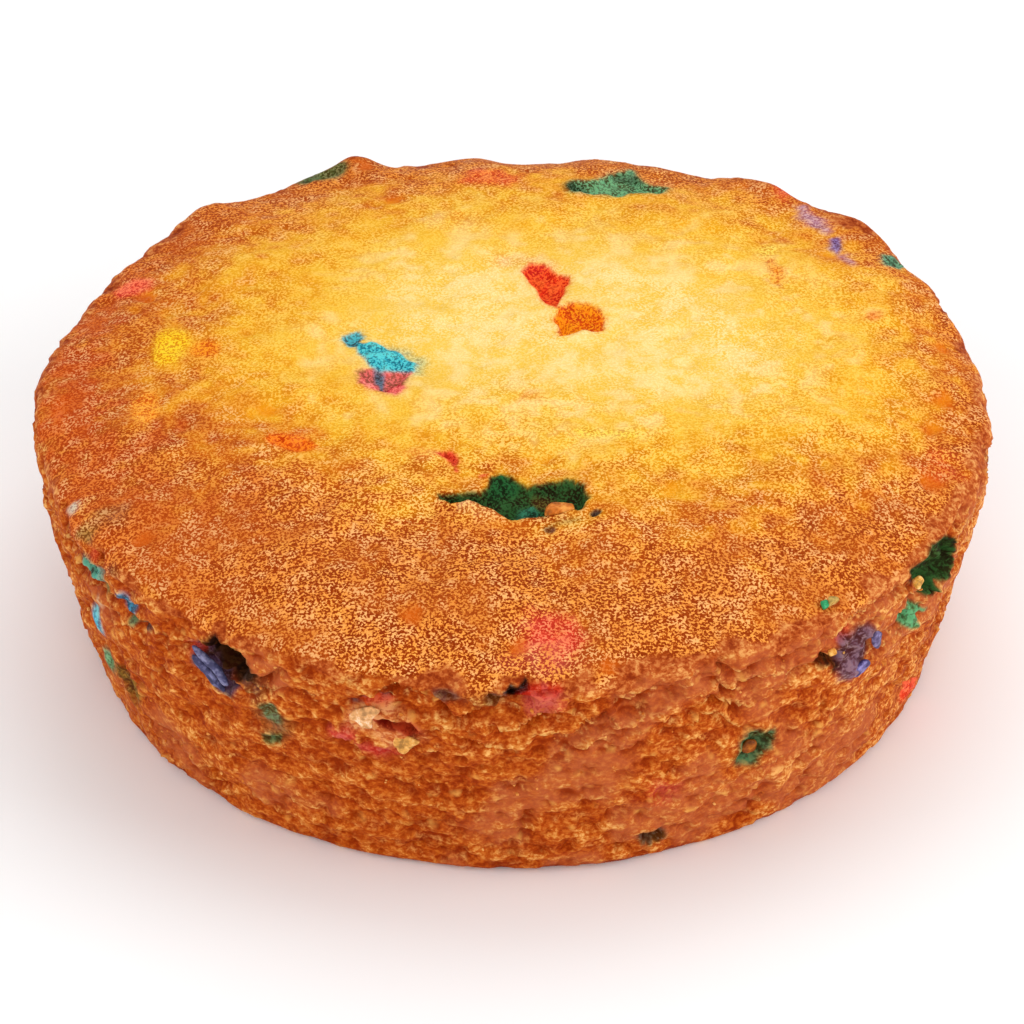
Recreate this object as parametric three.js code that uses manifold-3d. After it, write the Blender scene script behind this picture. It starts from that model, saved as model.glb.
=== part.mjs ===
// Confetti cake: a small round sponge cake, baked in a tin that narrows downwards and turned out,
// with a browned crust, a gently swollen top, torn crumb round the side, and bits of coloured
// confetti that have melted into the batter and left dyed pits and flakes.
//
// Millimetres, +Z up. The origin is on the table, under the middle of the cake.
// The side that faces the viewer is -Y. Angles go round the cake from +X towards +Y, in degrees.

import * as THREE from 'three';
import { mergeVertices } from 'three/addons/utils/BufferGeometryUtils.js';
import Module from 'manifold-3d';

// ---------------------------------------------------------------- driving dimensions

const RIM_RADIUS = 45; // the cake is 90 mm across its browned rim
const BASE_RADIUS = 40.4; // the tin narrows to this at the foot
const RIM_HEIGHT = 24.1; // the rim above the table
const CROWN_RISE = 4.45; // how far the top swells above the rim
const CROWN_FULLNESS = 4.44; // a high power is flat in the middle and falls away near the rim
const RIM_ROUND = 1.5; // reach of the soft bend from the top into the side
const SIDE_BULGE = 0.33; // how far the side swells out of a straight cone
const BULGE_SKEW = 0.7; // below 1 the widest part of that swelling is under half the height
const BASE_CORNER = 1.4; // radius of the corner round the foot
const FOOT_FADE = 3; // the crust's relief dies away over this distance above the foot

const WAVE_HEIGHT = 0.4; // slow rise and fall of the crust
const WAVE_SPAN = 9; // length of one such wave
const LUMP_HEIGHT = 0.28; // smaller lumps all over the crust
const LUMP_SPAN = 4;
const LEDGE_DEPTH = 1.25; // how deep the torn crumb is under its ledges
const LEDGE_LENGTH = 6.5; // ledges run round the cake ...
const LEDGE_RISE = 2.3; // ... and are this far apart up the side
const LEDGE_EDGE = [-0.05, 0.4]; // unevenness at which a ledge begins and is deepest
const TORN_FROM = [0.5, 2.5]; // the crumb is torn from this far under the rim ...
const TORN_TO = [5, 9]; // ... and less from here on down
const LESS_TORN = 0.35; // depth of the ledges below that, as a share
const PATTERN_SHIFT = 40; // keeps one pattern of unevenness from repeating another

const TOP_STEP = 2.6; // distance between the points of the crust on the top
const SIDE_STEP = 1.9; // and round the side, where the crags are
const BASE_STEP = 11; // the flat underside needs few
const FEWEST_IN_RING = 6;
const FINE_LUMP = 4; // a pit or a flake longer than this has finer faces
const PIT_RAGGEDNESS = 0.5; // how far a pit's outline departs from an oval, as a share
const FLAKE_RAGGEDNESS = 0.3;

const CRUMB_COLOUR = 0xd98a38; // golden brown crust

// Lumps and dips along the rim: place in degrees, half width in degrees, and how far the rim
// swells there, outwards and upwards alike.
const RIM_LUMPS = [
  { at: 12, wide: 4.5, swell: -0.4 },
  { at: 24.6, wide: 6.2, swell: 0.5 },
  { at: 41.4, wide: 7.1, swell: 1.4 },
  { at: 56.4, wide: 6.1, swell: 1.1 },
  { at: 75.4, wide: 6.2, swell: 0.2 },
  { at: 95.2, wide: 3.9, swell: 0.75 },
  { at: 95.3, wide: 13, swell: -0.7 },
  { at: 110.6, wide: 3.2, swell: 1.1 },
  { at: 115, wide: 8, swell: 0.45 },
  { at: 132.5, wide: 4.9, swell: 1.1 },
  { at: 148, wide: 11.3, swell: 0.25 },
  { at: 163.2, wide: 3.2, swell: -0.3 },
  { at: 175.3, wide: 13, swell: 0.35 },
  { at: 192, wide: 5.9, swell: -0.4 },
  { at: 208, wide: 5, swell: 0.2 },
  { at: 232, wide: 6, swell: -0.25 },
  { at: 262, wide: 6, swell: 0.2 },
  { at: 297, wide: 7, swell: 0.2 },
  { at: 325, wide: 6, swell: -0.2 },
];
const LUMP_REACH = 4.5; // how far a rim lump spreads over the top and down the side

// ---------------------------------------------------------------- confetti
//
// Each spot is given by its angle and either its distance out from the middle, on the top, or its
// height above the table, on the side. long, wide and deep are its sizes, and turn is how many
// degrees its length is tilted from the direction round the cake, towards the middle of the top.

// Pits that melted confetti left in the crumb.
const PITS = [
  // dark green fissure in the front half of the top
  { at: -99, out: 21.6, long: 8.5, wide: 4.4, deep: 2, turn: 4 },
  { at: -88, out: 20.6, long: 9, wide: 6, deep: 2.6, turn: -6 },
  { at: -78, out: 21.4, long: 7.5, wide: 4.8, deep: 2.2, turn: 8 },
  // blue flake's pit, left of the middle
  { at: 170, out: 11.6, long: 6, wide: 8.5, deep: 1.5, turn: 20 },
  // red and orange pocket behind the middle
  { at: 79, out: 14.6, long: 6, wide: 6.4, deep: 3, turn: 20 },
  { at: 53, out: 9.6, long: 6.4, wide: 5.4, deep: 2.8, turn: -30 },
  // orange slit
  { at: -149.5, out: 23.8, long: 4.4, wide: 1.8, deep: 0.9, turn: -35 },
  // green pocket at the back of the top
  { at: 78, out: 36.6, long: 5.5, wide: 3.2, deep: 1.4, turn: 0 },
  { at: 69.5, out: 36.6, long: 5.5, wide: 2.8, deep: 1.3, turn: 5 },
  // teal and green bits at the back of the rim
  { at: 30.3, out: 42.4, long: 3.6, wide: 2.2, deep: 0.9, turn: 15 },
  { at: 116, out: 43, long: 4.2, wide: 1.8, deep: 0.9, turn: 0 },
  // purple flake's cavity, on the left of the side
  { at: -123, up: 22.2, long: 4.6, wide: 2.6, deep: 1.9, turn: -20 },
  { at: -127.6, up: 19.4, long: 6.2, wide: 2.8, deep: 1.1, turn: -30 },
  // green bits below it
  { at: -120, up: 14.9, long: 2.8, wide: 3.4, deep: 0.9, turn: 20 },
  // slit between the cream chips
  { at: -104.4, up: 18.6, long: 6.2, wide: 1.9, deep: 1.3, turn: -8 },
  // black hole and fissure just under the rim
  { at: -90, up: 23.6, long: 2.6, wide: 1.4, deep: 1.5, turn: 0 },
  { at: -86, up: 23.3, long: 4.4, wide: 1.2, deep: 0.9, turn: 6 },
  { at: -97, up: 22.4, long: 2.2, wide: 1.2, deep: 0.9, turn: 0 },
  // purple flake on the right of the side
  { at: -49.8, up: 19.8, long: 3, wide: 2.2, deep: 1.7, turn: 20 },
  { at: -46, up: 19.8, long: 5, wide: 3.2, deep: 1.3, turn: 35 },
  // deep green pocket near the right edge
  { at: -30.3, up: 20.4, long: 3.8, wide: 5.2, deep: 1.9, turn: -15 },
  { at: -34, up: 16.6, long: 2.6, wide: 3.2, deep: 0.7, turn: -15 },
  // green pocket with a crumb in it
  { at: -60, up: 11.4, long: 4.2, wide: 3.6, deep: 1.3, turn: 25 },
  // hole at the foot
  { at: -72, up: 3.2, long: 2.4, wide: 1.8, deep: 1.2, turn: 0 },
  // blue and green bits on the left of the side
  { at: -150, up: 22.6, long: 3.2, wide: 2.6, deep: 0.9, turn: 0 },
  { at: -142.5, up: 19.2, long: 2.4, wide: 2.6, deep: 1.1, turn: 0 },
  { at: -150.5, up: 7.4, long: 3, wide: 3.4, deep: 0.9, turn: 0 },
];

// Flakes and chips of confetti that stand in the pits or lie flush in the crumb.
const FLAKES = [
  // lumps on the floor of the green fissure, with one loose crumb
  { at: -95, out: 21.4, long: 3.4, wide: 2.4, deep: 1.2, turn: 10, sunk: 1.6 },
  { at: -85, out: 19.6, long: 3.6, wide: 2.2, deep: 1.2, turn: -8, sunk: 1.9 },
  { at: -80.5, out: 21.2, long: 2.8, wide: 2, deep: 1.3, turn: 12, sunk: 1.2 },
  // blue flake and the pink one against it
  { at: 167, out: 12.4, long: 5.6, wide: 6.4, deep: 1.3, turn: 20, sunk: 0.5 },
  { at: -166, out: 12.2, long: 3.2, wide: 4, deep: 1.2, turn: 10, sunk: 0.8 },
  // pale lips of crumb over the red and orange pocket
  { at: 92, out: 12.2, long: 4.2, wide: 3, deep: 1.1, turn: 30, sunk: 0.2 },
  { at: 80, out: 9, long: 3.4, wide: 3, deep: 1, turn: 0, sunk: 0.2 },
  // yellow and orange chips, flush with the crust on the left
  { at: 172.4, out: 32.5, long: 4, wide: 5, deep: 0.9, turn: 0, sunk: 0.15 },
  { at: 172.7, out: 29.3, long: 2.4, wide: 2.6, deep: 0.8, turn: 0, sunk: 0.15 },
  // purple streak and red bump at the back right of the rim
  { at: 39.5, out: 38.9, long: 3, wide: 6, deep: 0.9, turn: 25, sunk: 0.15 },
  { at: 54, out: 43.6, long: 4.6, wide: 2.6, deep: 1.3, turn: 0, sunk: 0.3 },
  // flakes on the side, from left to right
  { at: -152.5, up: 20.8, long: 2.2, wide: 2.6, deep: 1, turn: 0, sunk: 0.3 },
  { at: -151.8, up: 13.6, long: 2.4, wide: 2.8, deep: 1, turn: 15, sunk: 0.3 },
  { at: -128, up: 19.2, long: 5.6, wide: 2.2, deep: 1.2, turn: -30, sunk: 0.5 },
  { at: -107.6, up: 19.4, long: 5, wide: 2, deep: 1.1, turn: -8, sunk: 0.3 },
  { at: -103, up: 16.9, long: 4.4, wide: 1.9, deep: 1.1, turn: 6, sunk: 0.3 },
  { at: -59.6, up: 11.2, long: 1.9, wide: 1.7, deep: 1, turn: 0, sunk: 0.7 },
  { at: -44.6, up: 19.4, long: 4.2, wide: 1.7, deep: 1, turn: 35, sunk: 0.6 },
  { at: -33.6, up: 16.8, long: 2, wide: 2.6, deep: 1, turn: -15, sunk: 0.5 },
  { at: -27, up: 4.6, long: 4.2, wide: 2.6, deep: 0.9, turn: 0, sunk: 0.2 },
];

// The far side is finished like the near one: a pit with a flake in it at each of these places.
const FAR_SIDE_SPOTS = 10;
const FAR_SIDE_FROM = 2; // degrees
const FAR_SIDE_TO = 194;
const FAR_SIDE_LOW = 5; // lowest and highest place of a spot above the table
const FAR_SIDE_HIGH = 20;
const SPOT_LENGTH = [2.6, 5.4]; // smallest and largest length of a spot
const SPOT_WIDTH = [0.45, 0.75]; // its width, as a share of its length
const SPOT_DEPTH = [0.9, 1.4];
const SPOT_TILT = 30; // largest tilt of a spot, to either side, in degrees
const FAR_FLAKE_SIZE = 0.7; // size of the flake in a pit, and how deep it is sunk, as shares
const FAR_FLAKE_SUNK = 0.8;
const SPOT_SEED = 31;

// ---------------------------------------------------------------- repeatable unevenness

// A repeatable stream of numbers between 0 and 1.
function seeded(seed) {
  let state = seed;
  return () => {
    state = (state + 0x6d2b79f5) | 0;
    let mixed = Math.imul(state ^ (state >>> 15), 1 | state);
    mixed = (mixed + Math.imul(mixed ^ (mixed >>> 7), 61 | mixed)) ^ mixed;
    return ((mixed ^ (mixed >>> 14)) >>> 0) / 4294967296;
  };
}

// A value from -1 to 1 for each point of a lattice.
function latticeValue(i, j, k) {
  let mixed = Math.imul(i, 0x9e3779b1) ^ Math.imul(j, 0x85ebca77) ^ Math.imul(k, 0xc2b2ae3d);
  mixed = Math.imul(mixed ^ (mixed >>> 15), 0x2c1b3c6d);
  mixed = Math.imul(mixed ^ (mixed >>> 12), 0x297a2d39);
  return ((mixed ^ (mixed >>> 15)) >>> 0) / 2147483647.5 - 1;
}

// The lattice's values blended smoothly in between.
function unevenness(x, y, z) {
  const cell = [Math.floor(x), Math.floor(y), Math.floor(z)];
  const part = [x - cell[0], y - cell[1], z - cell[2]].map((t) => t * t * (3 - 2 * t));
  let sum = 0;
  for (let corner = 0; corner < 8; corner++) {
    const step = [corner & 1, (corner >> 1) & 1, (corner >> 2) & 1];
    const weight = step.reduce((w, on, axis) => w * (on ? part[axis] : 1 - part[axis]), 1);
    sum += weight * latticeValue(cell[0] + step[0], cell[1] + step[1], cell[2] + step[2]);
  }
  return sum;
}

const radians = THREE.MathUtils.degToRad;
const smoothstep = THREE.MathUtils.smoothstep;

// ---------------------------------------------------------------- the plain form

const OUTLINE_SPANS = 24; // spans of the curve that the top, and the side, is drawn with
const SEARCH_STEP = 0.1;
const SLOPE_STEP = 1e-4; // shares of the outline's length between which its slope is taken

// Height of the smooth top at a distance from the middle.
function crownHeight(radius) {
  return RIM_HEIGHT + CROWN_RISE * (1 - (radius / RIM_RADIUS) ** CROWN_FULLNESS);
}

// Radius of the smooth side at a height above the table.
function sideRadius(height) {
  const share = Math.max((height - BASE_CORNER) / (RIM_HEIGHT - BASE_CORNER), 0);
  const cone = BASE_RADIUS + (RIM_RADIUS - BASE_RADIUS) * share;
  return cone + SIDE_BULGE * Math.sin(Math.PI * share ** BULGE_SKEW);
}

// Half outline from the middle of the top to the middle of the underside, as radius and height.
function cakeOutline() {
  const outline = new THREE.Path();
  const topPoints = [];
  const sidePoints = [];
  const topEnd = RIM_RADIUS - RIM_ROUND;
  const sideStart = RIM_HEIGHT - RIM_ROUND;
  for (let i = 1; i <= OUTLINE_SPANS; i++) {
    const radius = (topEnd * i) / OUTLINE_SPANS;
    topPoints.push(new THREE.Vector2(radius, crownHeight(radius)));
    const height = sideStart + ((BASE_CORNER - sideStart) * i) / OUTLINE_SPANS;
    sidePoints.push(new THREE.Vector2(sideRadius(height), height));
  }
  outline.moveTo(0, crownHeight(0));
  outline.splineThru(topPoints);
  outline.quadraticCurveTo(RIM_RADIUS, RIM_HEIGHT, sideRadius(sideStart), sideStart);
  outline.splineThru(sidePoints);
  outline.absarc(BASE_RADIUS - BASE_CORNER, BASE_CORNER, BASE_CORNER, 0, -Math.PI / 2, true);
  outline.lineTo(0, 0);
  return outline;
}

const outline = cakeOutline();
const outlineLength = outline.getLength();
const underside = BASE_RADIUS - BASE_CORNER; // the flat underside's radius
const foot = outlineLength - underside; // where along the outline the flat underside begins

// The point of the outline nearest to the rim's edge, as a distance along it.
function distanceToRim() {
  let nearest = Infinity;
  let found = 0;
  for (let along = 0; along < foot; along += SEARCH_STEP) {
    const point = outline.getPoint(along / outlineLength);
    const gap = Math.hypot(point.x - RIM_RADIUS, point.y - RIM_HEIGHT);
    if (gap < nearest) {
      nearest = gap;
      found = along;
    }
  }
  return found;
}

const rim = distanceToRim();

// ---------------------------------------------------------------- the crust

// How far the crust stands off the plain form, along its normal.
function crustRelief(point, along) {
  const waves = WAVE_HEIGHT * unevenness(
    point.x / WAVE_SPAN,
    point.y / WAVE_SPAN,
    point.z / WAVE_SPAN,
  );
  const lumps = LUMP_HEIGHT * unevenness(
    point.x / LUMP_SPAN + PATTERN_SHIFT,
    point.y / LUMP_SPAN,
    point.z / LUMP_SPAN,
  );
  const ledges = smoothstep(
    unevenness(
      point.x / LEDGE_LENGTH,
      point.y / LEDGE_LENGTH + PATTERN_SHIFT,
      point.z / LEDGE_RISE,
    ),
    ...LEDGE_EDGE,
  );
  const belowRim = along - rim;
  const lessTorn = (1 - LESS_TORN) * smoothstep(belowRim, ...TORN_TO);
  const torn = smoothstep(belowRim, ...TORN_FROM) * (1 - lessTorn);
  const standing = smoothstep(foot - along, 0, FOOT_FADE); // the foot stays true on the table
  return standing * (waves + lumps - LEDGE_DEPTH * torn * ledges);
}

// How far the rim's own lumps move a point, outwards and upwards alike.
function rimSwell(angle, along) {
  const near = Math.exp(-(((along - rim) / LUMP_REACH) ** 2));
  let swell = 0;
  for (const lump of RIM_LUMPS) {
    const turn = THREE.MathUtils.euclideanModulo(angle - lump.at + 180, 360) - 180;
    swell += near * lump.swell * Math.exp(-((turn / lump.wide) ** 2));
  }
  return swell;
}

// A point of the crust, with its outward normal and the directions round and up the cake.
function crustPoint(angle, along) {
  const share = Math.min(along / outlineLength, 1);
  const flat = outline.getPoint(share);
  const ahead = outline.getPoint(Math.min(share + SLOPE_STEP, 1));
  const behind = outline.getPoint(Math.max(share - SLOPE_STEP, 0));
  const slope = ahead.sub(behind).normalize();
  const outwards = new THREE.Vector3(Math.cos(radians(angle)), Math.sin(radians(angle)), 0);
  const round = new THREE.Vector3(-outwards.y, outwards.x, 0);
  const normal = outwards.clone().multiplyScalar(-slope.y).setZ(slope.x);
  const inwards = outwards.clone().multiplyScalar(-slope.x).setZ(-slope.y);
  const point = outwards.clone().multiplyScalar(flat.x).setZ(flat.y);
  if (along < foot) {
    const swell = rimSwell(angle, along);
    point.addScaledVector(normal, crustRelief(point, along));
    point.addScaledVector(outwards, swell);
    point.z = Math.max(point.z + swell, 0);
  }
  return { point, normal, round, inwards };
}

// Distances along the outline at which a ring of points runs round the cake.
function ringPlaces() {
  const places = [];
  const stretches = [
    { from: 0, to: rim, step: TOP_STEP },
    { from: rim, to: foot, step: SIDE_STEP },
    { from: foot, to: outlineLength, step: BASE_STEP },
  ];
  for (const { from, to, step } of stretches) {
    const count = Math.round((to - from) / step);
    for (let i = 0; i < count; i++) {
      places.push({ along: from + ((to - from) * i) / count, step });
    }
  }
  return places.slice(1);
}

// The whole crust and underside as one closed surface: rings of points joined by triangles.
function crustGeometry() {
  const positions = [];
  const faces = [];

  function addPoint(angle, along) {
    positions.push(...crustPoint(angle, along).point.toArray());
    return positions.length / 3 - 1;
  }

  // The triangles between two rings that need not have the same number of points.
  function stitch(upper, lower) {
    let a = 0;
    let b = 0;
    while (a < upper.length || b < lower.length) {
      const nextA = a < upper.length ? (a + 1) / upper.length : Infinity;
      const nextB = b < lower.length ? (b + 1) / lower.length : Infinity;
      const upperNow = upper[a % upper.length];
      const lowerNow = lower[b % lower.length];
      if (nextA <= nextB) {
        faces.push(upperNow, lowerNow, upper[(a + 1) % upper.length]);
        a++;
      } else {
        faces.push(upperNow, lowerNow, lower[(b + 1) % lower.length]);
        b++;
      }
    }
  }

  const top = addPoint(0, 0);
  let previous = null;
  for (const { along, step } of ringPlaces()) {
    const radius = outline.getPoint(along / outlineLength).x;
    const count = Math.max(FEWEST_IN_RING, Math.round((2 * Math.PI * radius) / step));
    const ring = [];
    for (let i = 0; i < count; i++) {
      ring.push(addPoint((360 * i) / count, along));
    }
    if (previous) {
      stitch(previous, ring);
    } else {
      ring.forEach((point, i) => faces.push(top, point, ring[(i + 1) % count]));
    }
    previous = ring;
  }
  const bottom = addPoint(0, outlineLength);
  previous.forEach((point, i) => faces.push(bottom, previous[(i + 1) % previous.length], point));

  const geometry = new THREE.BufferGeometry();
  geometry.setAttribute('position', new THREE.Float32BufferAttribute(positions, 3));
  geometry.setIndex(faces);
  return geometry;
}

// ---------------------------------------------------------------- pits and flakes

const HALVINGS = 40; // of the stretch in which a place along the outline is searched for
const MERGE_GAP = 1e-4;

// Distance along the outline of a spot that is given by its radius on the top or its height.
function alongFor({ out, up }) {
  let low = out === undefined ? rim : 0;
  let high = out === undefined ? foot : rim;
  for (let i = 0; i < HALVINGS; i++) {
    const middle = (low + high) / 2;
    const point = outline.getPoint(middle / outlineLength);
    const before = out === undefined ? point.y > up : point.x < out;
    if (before) low = middle;
    else high = middle;
  }
  return low;
}

// An uneven rounded lump of the spot's size, standing in the crust at the spot's place.
// sink is how far its middle lies under the crust.
function lumpAt(spot, sink, raggedness, random) {
  const detail = Math.max(spot.long, spot.wide) > FINE_LUMP ? 1 : 0;
  const lump = new THREE.IcosahedronGeometry(1, detail);
  lump.deleteAttribute('normal');
  lump.deleteAttribute('uv');
  const geometry = mergeVertices(lump, MERGE_GAP);
  const corners = geometry.getAttribute('position');
  for (let i = 0; i < corners.count; i++) {
    const stretch = 1 + raggedness * (random() - 0.5);
    corners.setXYZ(i, corners.getX(i) * stretch, corners.getY(i) * stretch, corners.getZ(i));
  }
  const { point, normal, round, inwards } = crustPoint(spot.at, alongFor(spot));
  const length = round.clone().applyAxisAngle(normal, radians(spot.turn));
  const width = normal.clone().cross(length);
  point.addScaledVector(normal, -sink);
  const placed = new THREE.Matrix4().makeBasis(
    length.multiplyScalar(spot.long / 2),
    width.multiplyScalar(spot.wide / 2),
    normal.clone().multiplyScalar(spot.deep),
  );
  placed.setPosition(point);
  return geometry.applyMatrix4(placed);
}

// Spots spread along the far side, each with a length, a width and a tilt of its own.
function farSideSpots(random) {
  const lerp = THREE.MathUtils.lerp;
  const spots = [];
  for (let i = 0; i < FAR_SIDE_SPOTS; i++) {
    const share = (i + random()) / FAR_SIDE_SPOTS;
    const long = lerp(...SPOT_LENGTH, random());
    spots.push({
      at: lerp(FAR_SIDE_FROM, FAR_SIDE_TO, share),
      up: lerp(FAR_SIDE_LOW, FAR_SIDE_HIGH, random()),
      long,
      wide: long * lerp(...SPOT_WIDTH, random()),
      deep: lerp(...SPOT_DEPTH, random()),
      turn: lerp(-SPOT_TILT, SPOT_TILT, random()),
    });
  }
  return spots;
}

// ---------------------------------------------------------------- one solid

const wasm = await Module();
wasm.setup();

function toSolid(geometry) {
  const mesh = new wasm.Mesh({
    numProp: 3,
    vertProperties: new Float32Array(geometry.getAttribute('position').array),
    triVerts: new Uint32Array(geometry.getIndex().array),
  });
  return new wasm.Manifold(mesh);
}

// The solid's outer skin alone: sealed hollows are filled and loose scraps are dropped.
function outerSkin(solid) {
  const mesh = solid.getMesh();
  const group = Array.from({ length: mesh.numVert }, (_, i) => i);
  const root = (i) => {
    while (group[i] !== i) i = group[i];
    return i;
  };
  for (let t = 0; t < mesh.triVerts.length; t += 3) {
    const first = root(mesh.triVerts[t]);
    group[root(mesh.triVerts[t + 1])] = first;
    group[root(mesh.triVerts[t + 2])] = first;
  }
  const sizes = new Map();
  for (const vertex of mesh.triVerts) {
    sizes.set(root(vertex), (sizes.get(root(vertex)) ?? 0) + 1);
  }
  const largest = [...sizes.entries()].sort((a, b) => b[1] - a[1])[0][0];
  const faces = [];
  for (let t = 0; t < mesh.triVerts.length; t += 3) {
    if (root(mesh.triVerts[t]) === largest) {
      faces.push(mesh.triVerts[t], mesh.triVerts[t + 1], mesh.triVerts[t + 2]);
    }
  }
  const geometry = new THREE.BufferGeometry();
  geometry.setAttribute('position', new THREE.Float32BufferAttribute(mesh.vertProperties, 3));
  geometry.setIndex(faces);
  return geometry;
}

function confettiCake() {
  const random = seeded(SPOT_SEED);
  const farSide = farSideSpots(random);
  let cake = toSolid(crustGeometry());
  for (const pit of [...PITS, ...farSide]) {
    cake = cake.subtract(toSolid(lumpAt(pit, 0, PIT_RAGGEDNESS, random)));
  }
  for (const flake of FLAKES) {
    cake = cake.add(toSolid(lumpAt(flake, flake.sunk, FLAKE_RAGGEDNESS, random)));
  }
  for (const spot of farSide) {
    const flake = {
      ...spot,
      long: FAR_FLAKE_SIZE * spot.long,
      wide: FAR_FLAKE_SIZE * spot.wide,
    };
    const sunk = FAR_FLAKE_SUNK * spot.deep;
    cake = cake.add(toSolid(lumpAt(flake, sunk, FLAKE_RAGGEDNESS, random)));
  }
  return outerSkin(cake);
}

const crumb = new THREE.MeshStandardMaterial({
  color: CRUMB_COLOUR,
  roughness: 0.75,
  metalness: 0,
});

const cake = new THREE.Mesh(confettiCake(), crumb);
cake.name = 'confetti_cake';

const group = new THREE.Group();
group.add(cake);

export default group;
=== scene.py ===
"""The looks of a confetti cake: a small round sponge with a browned crust, torn crumb round its
sloping side, and bits of coloured confetti that have melted into pits and stains.

Sizes are in millimetres until a mesh is made. Angles go round the cake from +X towards +Y."""

import itertools
import math

import bmesh
import bpy
import numpy as np
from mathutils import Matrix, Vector


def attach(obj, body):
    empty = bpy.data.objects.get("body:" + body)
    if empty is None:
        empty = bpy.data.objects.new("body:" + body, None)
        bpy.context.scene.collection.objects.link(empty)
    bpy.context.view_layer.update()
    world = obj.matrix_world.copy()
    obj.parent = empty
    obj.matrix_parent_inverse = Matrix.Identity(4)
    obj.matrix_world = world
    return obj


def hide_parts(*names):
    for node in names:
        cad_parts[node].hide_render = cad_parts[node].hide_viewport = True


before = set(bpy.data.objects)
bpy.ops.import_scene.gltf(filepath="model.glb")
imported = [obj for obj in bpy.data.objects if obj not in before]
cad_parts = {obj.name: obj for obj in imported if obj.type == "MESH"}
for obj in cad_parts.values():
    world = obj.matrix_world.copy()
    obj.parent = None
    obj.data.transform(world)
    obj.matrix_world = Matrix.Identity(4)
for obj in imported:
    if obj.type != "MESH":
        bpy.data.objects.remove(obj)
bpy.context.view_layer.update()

MM = 0.001

# ---------------------------------------------------------------- the cake's form, as in its solid

RIM_RADIUS = 45.0
BASE_RADIUS = 40.4
RIM_HEIGHT = 24.1
CROWN_RISE = 4.45
CROWN_FULLNESS = 4.44
RIM_ROUND = 1.5
SIDE_BULGE = 0.33
BULGE_SKEW = 0.7
BASE_CORNER = 1.4

TOP_POINTS, RIM_POINTS, SIDE_POINTS, FOOT_POINTS = 400, 40, 300, 30    # along its half outline
INSIDE = (20.0, 12.0)      # a radius and height inside it, from which the whole outline is seen

# ---------------------------------------------------------------- the crust's relief

WAVE_HEIGHT, WAVE_SPAN = 0.4, 9.0
LUMP_HEIGHT, LUMP_SPAN = 0.28, 4.0
CLUMP, GRAIN, FINE_GRAIN = (2.2, 2.2, 1.0), (1.2, 1.2, 0.62), (0.6, 0.6, 0.45)    # across and up
LEDGE_DEPTH, LEDGE_RISE, LEDGE_SAG = 1.5, 2.3, 0.3
SMALL_LEDGE_DEPTH, SMALL_LEDGE_RISE, SMALL_LEDGE_SAG = 0.3, 1.05, 0.1
PORE_DEPTH, BURST_DEPTH, DENT_DEPTH, BIT_HEIGHT = 0.45, 0.25, 0.22, 0.15
TORN_BAND = 9.0            # how far below the rim the side is torn most
LUMP_REACH = 4.5           # how far from the rim its lumps are felt

# Lumps and dips along the rim: angle, half width in degrees, and how far it swells out and up.
RIM_LUMPS = [
    (12, 4.5, -0.4), (24.6, 6.2, 0.5), (41.4, 7.1, 1.4), (56.4, 6.1, 1.1), (75.4, 6.2, 0.2),
    (95.2, 3.9, 0.75), (95.3, 13, -0.7), (110.6, 3.2, 1.1), (115, 8, 0.45), (132.5, 4.9, 1.1),
    (148, 11.3, 0.25), (163.2, 3.2, -0.3), (175.3, 13, 0.35), (192, 5.9, -0.4), (208, 5, 0.2),
    (232, 6, -0.25), (262, 6, 0.2), (297, 7, 0.2), (325, 6, -0.2),
]

# Distances between the points of the crust: over the top, round the rim, down the side, below.
TOP_STEP, RIM_STEP, SIDE_STEP, UNDERSIDE_STEP = 0.54, 0.34, 0.47, 1.8
RIM_BAND = (-1.5, 8.5)     # where the rim's step holds, measured down from the rim
RIM_OVERLAP = 1.5          # how far the spots of the top and the side reach past the rim
SPOT_REACH = 14.0          # further than any spot extends from its middle
OVAL_CORNERS = 12

# The crust is made twice as fine round the marks, and then again: how far outside and inside their
# edges.
REFINED = ((0.5, 9.0), (0.25, 0.45))
MARK_EVENING, TONE_EVENING = 0.7, 0.45    # how strongly the steps of its mesh are evened out there

# The top browns from its rim inwards and stays pale round a place right of and behind its middle.
# reach is how far from there the crust is half browned, at each angle.
PALE_MIDDLE = (4.0, 8.0)
BROWNING_WIDTH = 34.0
# Round the right front the torn crumb is painted lighter, as light falls there.
LEFT, RIGHT_FRONT = 180, -25    # angles where the skin is browned most, and the crumb lightest
BROWNING_REACH = [
    (-125, 27.3), (-112, 25), (-100, 24.5), (-85, 26), (-65, 27.5), (-45, 31), (-27, 34.5), (0, 34.5),
    (20, 31.5), (45, 27.5), (90, 24), (125, 27), (145, 29.5), (185, 31),
]

# How far from the middle the speckled skin reaches, and how strongly its grains are speckled with
# painted shade and highlight, by angle.
SKIN_REACH = [
    (-152, 45), (-143, 44.8), (-134, 44.5), (-120, 44.3), (-103, 44.1), (-88, 43.8), (-53, 44.0),
    (-39, 43.9), (-24, 43.5), (-7, 43.8), (20, 44.0), (90, 44), (180, 44.2),
]
SPECKLING = [(-150, 0.65), (-110, 0.95), (-60, 0.85), (-30, 0.8), (10, 0.75), (90, 0.7), (180, 0.6)]
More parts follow.
